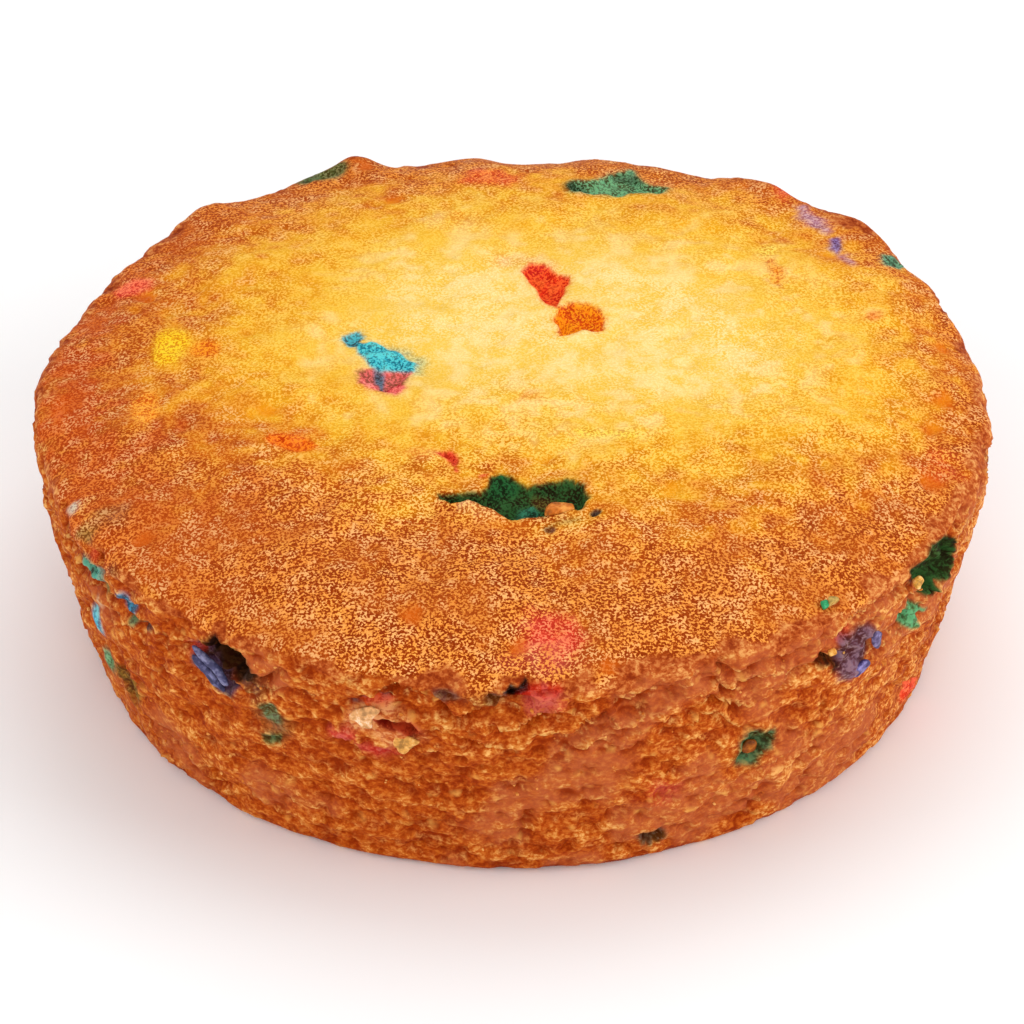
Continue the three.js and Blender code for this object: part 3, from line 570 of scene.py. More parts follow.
def depth_inside(places, corners):
    """How far each place lies inside an outline; negative is outside."""
    nearest = np.full(len(places), np.inf)
    inside = np.zeros(len(places), bool)
    for start, end in zip(corners, np.roll(corners, -1, axis=0)):
        edge = end - start
        off = places - start
        share = np.clip(off @ edge / (edge @ edge), 0, 1)
        nearest = np.minimum(nearest, np.linalg.norm(off - share[:, None] * edge, axis=1))
        crosses = (start[1] > places[:, 1]) != (end[1] > places[:, 1])
        if abs(edge[1]) > 1e-9:
            cut = start[0] + edge[0] * (places[:, 1] - start[1]) / edge[1]
            inside ^= crosses & (places[:, 0] < cut)
    return np.where(inside, nearest, -nearest)


def far_side_spots():
    """A pit, with its dye, for each of the far side's hues."""
    random = np.random.default_rng(FAR_SEED)
    spots = []
    for number, hue in enumerate(FAR_HUES):
        share = (number + random.uniform(0.2, 0.8)) / len(FAR_HUES)
        long = random.uniform(2.4, 5.2)
        height = random.uniform(5, 20)
        wide = long * random.uniform(0.45, 0.75)
        turn = random.uniform(-30, 30)
        spots.append(spot((FAR_START + FAR_EXTENT * share, height, long, wide, turn), hue, 0.85, 0.5,
                          deep=random.uniform(0.8, 1.5), wall=0.7, lip=0.1))
    return spots


# ---------------------------------------------------------------- mixing colours


def linear(hue):
    """An sRGB hex colour as linear red, green and blue."""
    parts = [int(hue[i:i + 2], 16) / 255 for i in (1, 3, 5)]
    return np.array([p / 12.92 if p <= 0.04045 else ((p + 0.055) / 1.055) ** 2.4 for p in parts])


def colours_between(stops, value):
    """Linear colours for values among (value, sRGB hex) stops."""
    places = [place for place, _ in stops]
    hues = np.array([linear(hue) for _, hue in stops])
    return np.stack([np.interp(value, places, hues[:, part]) for part in range(3)], 1)


def blended(first, second, share):
    """From the first towards the second by a share for each point."""
    return first + (second - first) * share[:, None]


def toned(stops, tone, spread):
    """Three tones from one set of colours, a spread apart: painted shade, the middle tone and painted
    highlight.
    """
    return np.stack([colours_between(stops, tone + step) for step in (-spread, 0, spread)])


# ---------------------------------------------------------------- the cake's points and faces


def ring_faces(upper, lower):
    """Triangles between two rings of points that need not have the same number."""
    faces = []
    a = b = 0
    while a < len(upper) or b < len(lower):
        next_a = (a + 1) / len(upper) if a < len(upper) else math.inf
        next_b = (b + 1) / len(lower) if b < len(lower) else math.inf
        up, low = upper[a % len(upper)], lower[b % len(lower)]
        if next_a <= next_b:
            faces.append((up, low, upper[(a + 1) % len(upper)]))
            a += 1
        else:
            faces.append((up, low, lower[(b + 1) % len(lower)]))
            b += 1
    return faces


def plain_surface():
    """The plain form as points and triangles, in rings from the top's middle to the underside's."""
    angle, along, faces = [0.0], [0.0], []
    previous = None
    band = [RIM + edge for edge in RIM_BAND]
    for start, end, step in ((0, band[0], TOP_STEP), (*band, RIM_STEP),
                             (band[1], FOOT, SIDE_STEP), (FOOT, LENGTH, UNDERSIDE_STEP)):
        count = round((end - start) / step)
        for place in np.linspace(start, end, count, endpoint=False):
            if place == 0:
                continue
            points = max(6, round(2 * math.pi * outline_at(place)[0] / step))
            ring = list(range(len(angle), len(angle) + points))
            angle += [360 * i / points for i in range(points)]
            along += [place] * points
            if previous is None:
                faces += [(0, point, ring[(i + 1) % points]) for i, point in enumerate(ring)]
            else:
                faces += ring_faces(previous, ring)
            previous = ring
    bottom = len(angle)
    faces += [(bottom, previous[(i + 1) % len(previous)], p) for i, p in enumerate(previous)]
    crust = Crust(angle + [0.0], along + [LENGTH])
    return crust.plain, faces


def near_marks(points, spots, outside, inside):
    """Which points lie no further than that outside the edge of a pit, a flake or a crisp stain,
    nor further inside it."""
    crust = crust_from_points(points)
    near = np.zeros(len(points), bool)
    for mark, on_side in spots:
        if mark.get("deep", 0) >= 0.5 or mark["soft"] <= 0.3:
            places, corners = spot_plane(mark, crust, on_side)
            depth = depth_inside(places, corners)
            near |= (depth > -outside) & (depth < inside) & on_surface(crust, on_side)
    return near


def finer_near_marks(points, faces, spots):
    """Splits edges in and round the marks, and again at their edges, to give these more points."""
    mesh = bmesh.new()
    made = [mesh.verts.new(p) for p in points]
    for face in faces:
        mesh.faces.new([made[i] for i in face])
    for outside, inside in REFINED:
        mesh.verts.index_update()
        near = near_marks(np.array([v.co for v in mesh.verts]), spots, outside, inside)
        split = [e for e in mesh.edges if near[e.verts[0].index] and near[e.verts[1].index]]
        bmesh.ops.subdivide_edges(mesh, edges=split, cuts=1)
        bmesh.ops.triangulate(mesh, faces=mesh.faces)
    mesh.verts.index_update()
    points = np.array([v.co for v in mesh.verts])
    faces = [[v.index for v in f.verts] for f in mesh.faces]
    mesh.free()
    return points, faces


def on_surface(crust, on_side):
    """Which places are on the side, or else on the top."""
    if on_side:
        return (crust.along > RIM - RIM_OVERLAP) & (crust.along < FOOT + 0.5)
    return crust.along < RIM + RIM_OVERLAP


def rim_shift(crust):
    """How far the rim's own lumps move each place."""
    near = np.exp(-(((crust.along - RIM) / LUMP_REACH) ** 2))
    swell = sum(height * towards(crust, at, wide) for at, wide, height in RIM_LUMPS)
    return (near * swell)[:, None] * (crust.outwards + [[0, 0, 1]])


def by_angle(angle, stops):
    """A value for each angle from (angle, value) pairs that go round the cake."""
    return np.interp(angle, *zip(*stops), period=360)


# ---------------------------------------------------------------- the cake's crust and crumb


def browning(crust):
    """0 in the pale middle of the top, 1 where the crust is fully browned."""
    place = crust.plain
    x, y = (place[:, axis] - PALE_MIDDLE[axis] for axis in (0, 1))
    reach = by_angle(np.degrees(np.arctan2(y, x)), BROWNING_REACH)
    wander = 2.4 * unevenness(place, 11, (3, 0, 0)) + 0.8 * unevenness(place, 4.5, (0, 9, 0))
    rim = smoothstep(crust.along, RIM - 9, RIM - 1)
    return np.clip(0.5 + (np.hypot(x, y) - reach + wander) / BROWNING_WIDTH + 0.16 * rim, 0, 1)


def ledges(crust, rise, strength, shift):
    """Where the side tore off the tin: ledges with a sharp, slightly hanging lip over a crack.
    Gives the crack's depth and how far out the lip stands, both from 0 to 1."""
    place = crust.plain
    wave = 0.7 * unevenness(place, 3.2 * rise, (0, shift, 0))
    wave += 0.7 * unevenness(place, 1.1 * rise, (0, shift + 2, 0))
    step = place[:, 2] / rise + wave
    level = np.floor(step)
    share = step - level
    turn = np.radians(crust.angle)
    turns = 30 / rise
    round_place = np.stack([turns * np.cos(turn), turns * np.sin(turn), 3.1 * level + shift], 1)
    strong = strength * smoothstep(unevenness(round_place, 1, (0, 70, 0)), -0.15, 0.35)
    crack = smoothstep(share, 0.1, 0.92) * (1 - smoothstep(share, 0.94, 1.0)) * strong
    lip = np.exp(-((share / 0.16) ** 2)) * strong
    return crack, lip


def pores(place):
    """Open bubbles of the crumb, and burst ones and smooth dents in the skin, from 0 to 1."""
    small = dots(place, (1.8, 1.8, 1.15), 11, size=0.44, spread=0.16, edge=(0, 0.16), least=-0.1)
    large = dots(place, (4.4, 4.4, 2.4), 17, size=0.3, spread=0.12, edge=(0, 0.12), least=0.0)
    burst = dots(place, 1.9, 23, size=0.34, spread=0.14, edge=(0, 0.2), least=0.5)
    dent = dots(place, 5.5, 29, size=0.17, spread=0.08, edge=(-0.03, 0.06), least=0.2, ragged=0.12)
    return np.maximum(small, large), burst, dent


def skin_edge(crust):
    """How far each place lies beyond the wavy edge of the speckled skin."""
    place = crust.plain
    wander = 1.9 * unevenness(place, 3.2, (0, 0, 20)) + 0.9 * unevenness(place, 1.1, (0, 20, 20))
    return crust.along - RIM + RIM_RADIUS - by_angle(crust.angle, SKIN_REACH) + wander


def skin_tones(crust, dent):
    """The skin's tones, by how browned it is: painted shade for its hollows and painted highlight for
    its raised grains, with speckles of these, marbling and smooth dents.
    """
    place = crust.plain
    mottle = 0.1 * unevenness(place, 2.7, (60, 0, 0)) + 0.2 * unevenness(place, 1.1, (0, 60, 0))
    browned = browning(crust)
    most = 0.9 + 0.1 * towards(crust, LEFT, 40)
    browned = np.clip(browned + mottle * smoothstep(browned, 0, 0.5), 0, most)
    tones = np.stack([colours_between(s, browned) for s in (SKIN_DEEP, SKIN_MIDDLE, SKIN_LIGHT)])
    patch = unevenness(place, 3.2, (0, 0, 80)) + 0.5 * unevenness(place, 1.3)
    speckled = by_angle(crust.angle, SPECKLING) * (0.65 + 0.4 * smoothstep(patch, -0.4, 0.3))
    # the painted shade and highlight tones, drawn towards the middle tone where the skin is less
    # speckled
    tones = tones[MIDDLE] + (tones - tones[MIDDLE]) * speckled[:, None]
    shade = unevenness(place, 1.5, (80, 0, 0)) + 0.8 * unevenness(place, 0.75, (0, 80, 0))
    own = blended(tones[MIDDLE], tones[LIGHT], 0.55 * smoothstep(shade, 0.0, 0.7))
    tones[MIDDLE] = blended(own, tones[DEEP], 0.6 * smoothstep(-shade, 0.0, 0.7))
    marbling = 0.7 * unevenness(place, 2.6, (0, 25, 0)) + 1.2 * unevenness(place, 0.9, (0, 0, 25))
    middle = 1 - smoothstep(browned, 0.1, 0.45)
    for hue, share in ((PALE_BLOTCH, 0.38 * smoothstep(marbling, -0.1, 0.6)),
                       (YELLOW_BLOTCH, 0.35 * smoothstep(-marbling, 0.1, 0.6))):
        tones = blended(tones, linear(hue), share * middle)
    # creamy painted highlight on the grains of the browned skin
    creamy_highlight = smoothstep(unevenness(place, 0.9, (0, 0, 40)), -0.1, 0.5)
    creamy_highlight *= smoothstep(browned, 0.3, 0.7)
    tones[LIGHT] = blended(tones[LIGHT], linear(CREAMY_HIGHLIGHT), 0.35 * creamy_highlight)
    dent = 0.85 * dent * smoothstep(browned, 0.2, 0.6)
    return blended(tones, colours_between(SMOOTH_DENT, browned), dent)


def crumb_tones(crust, tone, right, lit, bit):
    """The torn crumb's tones: painted shade and highlight, spread wider at the right front, with rosier
    patches, painted highlight on the lit edges of its ledges, and golden bits.
    """
    tones = toned(TORN_CRUMB, tone, 0.5 + 0.2 * right)
    rosy = 0.7 * smoothstep(unevenness(crust.plain, 5.5, (33, 0, 0)), 0.05, 0.35)
    tones = blended(tones, linear(ROSY_CRUMB), rosy * (1 - np.clip(np.abs(tone), 0, 1)))
    for rank, share in ((MIDDLE, 0.3), (LIGHT, 0.85)):
        tones[rank] = blended(tones[rank], linear(GLINT), share * lit)
    return blended(tones, linear(GOLDEN_BIT), 0.65 * bit)


def spot_marks(crust, spots, tones):
    """Pits, flakes and raised lips that the confetti has left, and the tones with its dyes."""
    place = crust.plain
    wobble = np.stack([unevenness(place, 1.3, (20, 0, 0)), unevenness(place, 1.3, (0, 20, 0))], 1)
    mottle = unevenness(place, 0.9, (90, 0, 0)) + 0.7 * unevenness(place, 0.45, (0, 90, 0))
    pit, raised, crisp = (np.zeros(len(place)) for _ in range(3))
    tones = tones.copy()
    for mark, on_side in spots:
        places, corners = spot_plane(mark, crust, on_side)
        middle = corners.mean(0)
        close = np.linalg.norm(places - middle, axis=1) < SPOT_REACH
        near = np.flatnonzero(close & on_surface(crust, on_side))
        soft = mark["soft"]
        inside = depth_inside(places[near] + (0.1 + 0.8 * soft) * wobble[near], corners)
        if "deep" in mark:
            hollow = mark["deep"] * smoothstep(inside, -0.05, mark["wall"])
            if "lean" in mark:
                lean = np.array(mark["lean"], float) / np.linalg.norm(mark["lean"])
                extent = (corners - middle) @ lean
                share = ((places[near] - middle) @ lean - extent.min()) / np.ptp(extent)
                hollow *= 0.2 + 0.8 * np.clip(share, 0, 1)
            pit[near] = np.maximum(pit[near], hollow)
            crest = mark.get("lip", 0) * np.exp(-(((inside + 0.45) / 0.4) ** 2))
            raised[near] = np.maximum(raised[near], crest * (hollow < 0.1))
        amount = mark["strength"] * smoothstep(inside + soft * ("deep" in mark), -soft, soft)
        if mark.get("sunk"):
            amount = amount * smoothstep(pit[near], 0.1, 0.4)
        rise = mark.get("rise", 0) * smoothstep(inside, -0.1, 0.5) * (1 + 0.8 * mottle[near])
        raised[near] = np.maximum(raised[near], rise)
        hue = linear(mark["hue"])
        fleck = linear(mark["fleck"]) if "fleck" in mark else hue + 0.05 * (1 - hue)
        dye = hue + (fleck - hue) * smoothstep(mottle[near], -0.1, 0.5)[:, None]
        dye = blended(dye, dye * DYE_SHADE, smoothstep(-mottle[near], 0.05, 0.55))
        # the dye as painted shade in the hollows, as its own colour, and towards its paler crystals on
        # the grains that stand up
        for rank, own, share in ((DEEP, dye * np.square(DYE_SHADE), amount), (MIDDLE, dye, amount),
                                 (LIGHT, dye + 0.8 * (fleck - dye), amount ** (1 + soft))):
            tones[rank][near] = blended(tones[rank][near], own, share)
        crisp[near] = np.maximum(crisp[near], amount * (soft < 0.5))
    return pit, raised, crisp, tones


def evened_out(values, faces, share, rounds=2):
    """Values drawn towards those of the points that they share an edge with, by a share each."""
    corners = np.array(faces)
    ends = np.concatenate([corners[:, [0, 1]], corners[:, [1, 2]], corners[:, [2, 0]]])
    count = np.bincount(ends[:, 0], minlength=len(values))
    for _ in range(rounds):
        around = np.stack([
            np.bincount(ends[:, 0], values[ends[:, 1], axis], len(values)) / count
            for axis in range(values.shape[1])], 1)
        values = blended(values, around, share)
    return values


def cake_surface():
    """The finished crust: points, triangles and what the sponge's finish reads at each point."""
    spots = [(s, False) for s in TOP_SPOTS] + [(s, True) for s in SIDE_SPOTS + far_side_spots()]
    points, faces = finer_near_marks(*plain_surface(), spots)
    crust = crust_from_points(points)
    plain = crust.plain
    beyond = skin_edge(crust)
    below_rim = crust.along - RIM

    # how bare of skin, how torn and how far up from the foot, and what the torn side is made of
    bare = smoothstep(beyond, -0.2, 0.25)
    torn = smoothstep(below_rim + 1.4 * unevenness(plain, 2.4, (11, 0, 0)), -0.2, 0.8)
    standing = smoothstep(FOOT - crust.along, 0, 3)
    # painted light: the crumb is lighter towards the right front
    right = towards(crust, RIGHT_FRONT, 35)
    in_band = torn * (1 - 0.7 * smoothstep(below_rim, 5, TORN_BAND))
    crack, lip = ledges(crust, LEDGE_RISE, in_band, 31)
    small_crack, small_lip = ledges(crust, SMALL_LEDGE_RISE, bare * (0.35 + 0.65 * in_band), 57)
    pore, burst, dent = pores(plain)
    pore, burst, dent = pore * torn, burst * (1 - bare), dent * (1 - bare)
    bit = torn * dots(
        plain, (1.9, 1.9, 1.3), 41, size=0.15, spread=0.1, edge=(-0.03, 0.09), least=-0.3)
    clump = unevenness(plain, CLUMP, (7, 0, 0))
    grain = unevenness(plain, GRAIN, (0, 3, 0))
    fine = unevenness(plain, FINE_GRAIN, (0, 0, 3))

    # how high it stands off the plain form
    relief = WAVE_HEIGHT * unevenness(plain, WAVE_SPAN)
    relief += LUMP_HEIGHT * unevenness(plain, LUMP_SPAN, (40, 0, 0))
    relief += bare * (1 + 0.5 * in_band) * (0.11 * clump + 0.14 * grain)
    relief += (1 - bare) * (0.07 * clump + 0.05 * grain) * (1 - dent)
    relief -= LEDGE_DEPTH * crack + SMALL_LEDGE_DEPTH * small_crack
    relief -= PORE_DEPTH * pore + BURST_DEPTH * burst + DENT_DEPTH * dent - BIT_HEIGHT * bit

    # its tone, which follows the relief as painted shade and highlight: lighter where clumps and grains
    # stand up and on the lips, darker in the cracks and pores
    tone = 0.3 * clump + 0.55 * grain + 0.5 * fine
    tone += 0.55 * lip + 0.3 * small_lip - 0.65 * crack - 0.35 * small_crack - 0.6 * pore
    # broader lighter patches of its own, and painted light at the right front
    tone += 0.35 * np.maximum(unevenness(plain, (6, 6, 1.8), (0, 0, 60)), 0) + 0.25 * right
    # painted shade: darker near the foot, where it meets the floor
    tone -= 0.3 * smoothstep(crust.along, FOOT - 2.5, FOOT)
    tones = blended(skin_tones(crust, dent), toned(RIM_ROLL, tone, 0.6), bare)
    lit = np.clip(lip + small_lip, 0, 1)
    tones = blended(tones, crumb_tones(crust, tone, right, lit, bit), torn)

    # the confetti's pits, whose floors are rough, and its dyes
    pit, raised, crisp, tones = spot_marks(crust, spots, tones)
    floor = 0.25 * unevenness(plain, 1.3, (5, 5, 5)) + 0.3 * unevenness(plain, 0.8)
    relief = relief * (1 - 0.6 * smoothstep(pit, 0.2, 0.8)) + raised - pit * (1 + floor)

    moved = plain + crust.normal * (relief * standing)[:, None] + rim_shift(crust)
    moved[:, 2] -= (LEDGE_SAG * lip + SMALL_LEDGE_SAG * small_lip) * standing * (1 - crisp)

    # the steps of the mesh are evened out in the marks, and the underside is kept flat
    marked = np.clip(3 * pit, 0, 1) + crisp
    marked = evened_out(marked[:, None], faces, np.ones(len(plain)), 3)[:, 0]
    marked = MARK_EVENING * np.clip(2 * marked, 0, 1)
    moved = evened_out(moved, faces, marked)
    tones = np.stack([evened_out(tone, faces, TONE_EVENING * marked, 1) for tone in tones])
    flat = crust.along >= FOOT - 1e-6
    moved[flat] = plain[flat]
    moved[:, 2] = np.maximum(moved[:, 2], 0)

    # the painted shade tone, the middle tone and the painted highlight tone, which the finish mixes by
    # its grain
    readings = dict(zip(("deep", "middle", "light"), np.clip(tones, 0, 1)))
    readings["bare"] = bare
    readings["crumbly"] = torn * smoothstep(FOOT - crust.along, 2, 5) * (1 - crisp) * np.clip(
        0.1 + lip + 0.5 * small_lip, 0, 1)
    return moved, faces, readings


def in_scene(name, data):
    """A new object at the origin for that mesh, light or camera."""
    made = bpy.data.objects.new(name, data)
    bpy.context.scene.collection.objects.link(made)
    return made


def plain_mesh(name, points, faces):
    """A mesh object at the origin from points in millimetres."""
    mesh = bpy.data.meshes.new(name)
    mesh.from_pydata((np.asarray(points) * MM).tolist(), [], [tuple(f) for f in faces])
    mesh.shade_smooth()
    return in_scene(name, mesh)


def confetti_cake():
    points, faces, readings = cake_surface()
    cake = plain_mesh("cake_sponge", points, faces)
    for name, values in readings.items():
        coloured = values.ndim == 2
        attribute = cake.data.attributes.new(name, "FLOAT_COLOR" if coloured else "FLOAT", "POINT")
        if coloured:
            values = np.column_stack([values, np.ones(len(values))])
        attribute.data.foreach_set("color" if coloured else "value", values.astype("f4").ravel())
    return cake


# ---------------------------------------------------------------- pieces of confetti

FLAKE_RINGS = [0.24, 0.46, 0.66, 0.82, 0.93, 0.99]    # shares of the way from middle to edge
FLAKE_CORNERS = 44


def rounded_corners(corners, count):
    """A closed outline with its corners cut off twice, in equal steps."""
    line = np.asarray(corners, float)
    for _ in range(2):
        ahead = np.roll(line, -1, axis=0)
        line = np.stack([0.8 * line + 0.2 * ahead, 0.2 * line + 0.8 * ahead], 1).reshape(-1, 2)
    closed = np.vstack([line, line[:1]])
    steps = np.linalg.norm(np.diff(closed, axis=0), axis=1)
    along = np.concatenate([[0], np.cumsum(steps)])
    wanted = np.linspace(0, along[-1], count, endpoint=False)
    return np.stack([np.interp(wanted, along, closed[:, axis]) for axis in (0, 1)], 1)


def along_at_height(height):
    """Distance along the outline of a height on the side."""
    on_side = OUTLINE[(OUTLINE[:, 2] > RIM - 1) & (OUTLINE[:, 2] < FOOT)]
    return np.interp(-np.asarray(height), -on_side[:, 1], on_side[:, 2])


def crust_at(places, on_side):
    """The crust at places on the top or the side."""
    if on_side:
        return Crust(places[:, 0], along_at_height(places[:, 1]))
    angle = np.degrees(np.arctan2(places[:, 1], places[:, 0]))
    top = OUTLINE[:TOP_POINTS]
    return Crust(angle, np.interp(np.hypot(*places.T), top[:, 0], top[:, 2]))


def confetti_flake(name, on_side, thick, lift, outline):
    """A lumpy closed slab with thin edges, lying in the crust. Its rings go from the middle of its
    face over the edge to the middle of its back."""
    edge = rounded_corners(outline, FLAKE_CORNERS)
    middle = edge.mean(0)
    rings = [(s, 1) for s in FLAKE_RINGS] + [(1.0, 0)] + [(s, -1) for s in FLAKE_RINGS[::-1]]
    places = np.concatenate([middle + (edge - middle) * share for share, _ in rings])
    face = np.repeat([f for _, f in rings], FLAKE_CORNERS)
    share = np.repeat([s for s, _ in rings], FLAKE_CORNERS)
    places = np.vstack([[middle], places, [middle]])
    face = np.concatenate([[1], face, [-1]])
    share = np.concatenate([[0], share, [0]])

    crust = crust_at(places, on_side)
    points = crust.plain + rim_shift(crust)
    bulge = 0.5 * thick * (1 - share ** 6) ** 0.5 * face
    rough = 0.2 * unevenness(points, 1.1, (0, 0, 9)) + 0.12 * unevenness(points, 0.5)
    height = lift + bulge * (1 + 0.5 * rough) + rough
    points = points + crust.normal * height[:, None]

    last = len(points) - 1
    faces = []
    for ring in range(len(rings)):
        start = 1 + ring * FLAKE_CORNERS
        for i in range(FLAKE_CORNERS):
            here, there = start + i, start + (i + 1) % FLAKE_CORNERS
            if ring == 0:
                faces.append((0, here, there))
            if ring == len(rings) - 1:
                faces.append((last, there, here))
            else:
                faces.append((here, here + FLAKE_CORNERS, there + FLAKE_CORNERS, there))
    piece = plain_mesh(name, points, faces)
    mesh = bmesh.new()
    mesh.from_mesh(piece.data)
    bmesh.ops.recalc_face_normals(mesh, faces=mesh.faces)
    mesh.to_mesh(piece.data)
    mesh.free()
    return piece


# ---------------------------------------------------------------- materials

SKIN_GRAIN = 0.24        # mm: grains of the skin, as coarse as they need to be to show
CRUMB_GRAIN = 0.5        # mm: grains of the torn crumb
CRUMB_FLATNESS = 1.4     # how much lower than wide those are
SUGAR_GRAIN = 0.8        # mm: crystals of the confetti
LOOSE_GRAIN = 1.6        # mm: lighter and darker loose crumbs


def pattern_scale(size):
    """The scale of a pattern whose features are about size mm across."""
    return 1 / (size * MM)


def fill(tree, node, inputs):
    """Fills inputs, given by name or by place, with values or with other nodes' outputs."""
    for name, value in inputs.items():
        if isinstance(value, bpy.types.NodeSocket):
            tree.links.new(value, node.inputs[name])
        else:
            node.inputs[name].default_value = value


def add(tree, kind, settings=None, inputs=None):
    """Adds a node with its settings and links."""
    node = tree.nodes.new(kind)
    for name, value in (settings or {}).items():
        setattr(node, name, value)
    fill(tree, node, inputs or {})
    return node


def new_material(name):
    material = bpy.data.materials.new(name)
    material.use_nodes = True
    return material, material.node_tree, material.node_tree.nodes["Principled BSDF"]


def baked_sponge():
    """Egg sponge, baked in a tin: a dry browned skin on top, pale in the middle, and torn moist
    crumb on the side. It is dull; the grains that stand up are painted lighter, as highlight, and
    the hollows between them darker, as shade."""
    material, tree, shader = new_material("baked_sponge")
    place = add(tree, "ShaderNodeTexCoord").outputs["Object"]
    flatter = add(tree, "ShaderNodeMapping", inputs={
        "Vector": place, "Scale": (1, 1, CRUMB_FLATNESS)})
    bare = add(tree, "ShaderNodeAttribute", dict(attribute_name="bare")).outputs["Fac"]
    skin = add(tree, "ShaderNodeTexNoise", inputs={
        "Vector": place, "Scale": pattern_scale(SKIN_GRAIN), "Detail": 1.5, "Roughness": 0.5,
        "Distortion": 0.4}).outputs["Fac"]
    crumb = add(tree, "ShaderNodeTexNoise", inputs={
        "Vector": flatter.outputs["Vector"], "Scale": pattern_scale(CRUMB_GRAIN), "Detail": 2.0,
        "Roughness": 0.65, "Distortion": 0.2}).outputs["Fac"]
    sparser = add(tree, "ShaderNodeMapRange", inputs={
        "Value": crumb, "From Min": 0.3, "From Max": 0.7, "To Min": 0.39, "To Max": 0.61})
    grain = add(tree, "ShaderNodeMix", dict(data_type="FLOAT"), {
        0: bare, 2: skin, 3: sparser.outputs["Result"]}).outputs[0]

    colour = add(tree, "ShaderNodeAttribute", dict(attribute_name="middle")).outputs["Color"]
    # painted shade where the grain dips and painted highlight where it stands up, on the grain that the
    # bump raises
    for name, none, full in (("deep", 0.5, 0.43), ("light", 0.5, 0.57)):
        share = add(tree, "ShaderNodeMapRange", dict(interpolation_type="SMOOTHERSTEP"), {
            "Value": grain, "From Min": none, "From Max": full}).outputs["Result"]
        tone = add(tree, "ShaderNodeAttribute", dict(attribute_name=name)).outputs["Color"]
        colour = add(tree, "ShaderNodeMix", dict(data_type="RGBA"), {
            0: share, 6: colour, 7: tone}).outputs[2]

    bump = add(tree, "ShaderNodeBump", inputs={
        "Height": grain, "Strength": 0.55, "Distance": 0.22 * MM}).outputs["Normal"]
    fill(tree, shader, {"Base Color": colour, "Normal": bump, "Roughness": 0.6, "IOR": 1.45,
                        "Specular IOR Level": 0.05})
    return material


def grainy_colour(tree, size, texture, stops):
    """Grains of that size in mm, and their colours from dark to light."""
    place = add(tree, "ShaderNodeTexCoord").outputs["Object"]
    grain = add(tree, "ShaderNodeTexNoise", inputs={
        "Vector": place, "Scale": pattern_scale(size), **texture}).outputs["Fac"]
    ramp = add(tree, "ShaderNodeValToRGB", inputs={"Fac": grain})
    ramp.color_ramp.elements.new(0.5)
    for element, (position, colour) in zip(ramp.color_ramp.elements, stops):
        element.position = position
        element.color = (*colour, 1)
    return grain, ramp.outputs["Color"]


def melted_confetti(name, hue, fleck):
    """Sugar confetti, or crumb soaked in it, that has softened in the oven: saturated and a little
    moist, with paler crystals and painted shade in its hollows."""
    material, tree, shader = new_material(name)
    # the dye painted at half brightness where the grain dips, as shade
    stops = ((0.34, 0.5 * linear(hue)), (0.5, linear(hue)), (0.66, linear(fleck)))
    grain, colour = grainy_colour(tree, SUGAR_GRAIN, {"Detail": 3.0, "Roughness": 0.6}, stops)
    bump = add(tree, "ShaderNodeBump", inputs={
        "Height": grain, "Strength": 0.6, "Distance": 0.3 * MM}).outputs["Normal"]
    fill(tree, shader, {"Base Color": colour, "Normal": bump, "Roughness": 0.5,
                        "Specular IOR Level": 0.15})
    return material


def golden_crumb():
    """Loose crumb, drier and lighter than the wall that it clings to."""
    material, tree, shader = new_material("golden_crumb")
    stops = ((0.35, linear("#B85A1E")), (0.5, linear("#D0782C")), (0.7, linear("#ECB060")))
    _, colour = grainy_colour(tree, LOOSE_GRAIN, {"Detail": 2.0}, stops)
    fill(tree, shader, {"Base Color": colour, "Roughness": 0.6, "Specular IOR Level": 0.1})
    return material


# ---------------------------------------------------------------- loose crumbs

CRUMBS_PER_MM2 = 0.5
SMALLEST_CRUMB, LARGEST_CRUMB = 0.14, 0.42    # mm across
CRUMB_SEED = 5


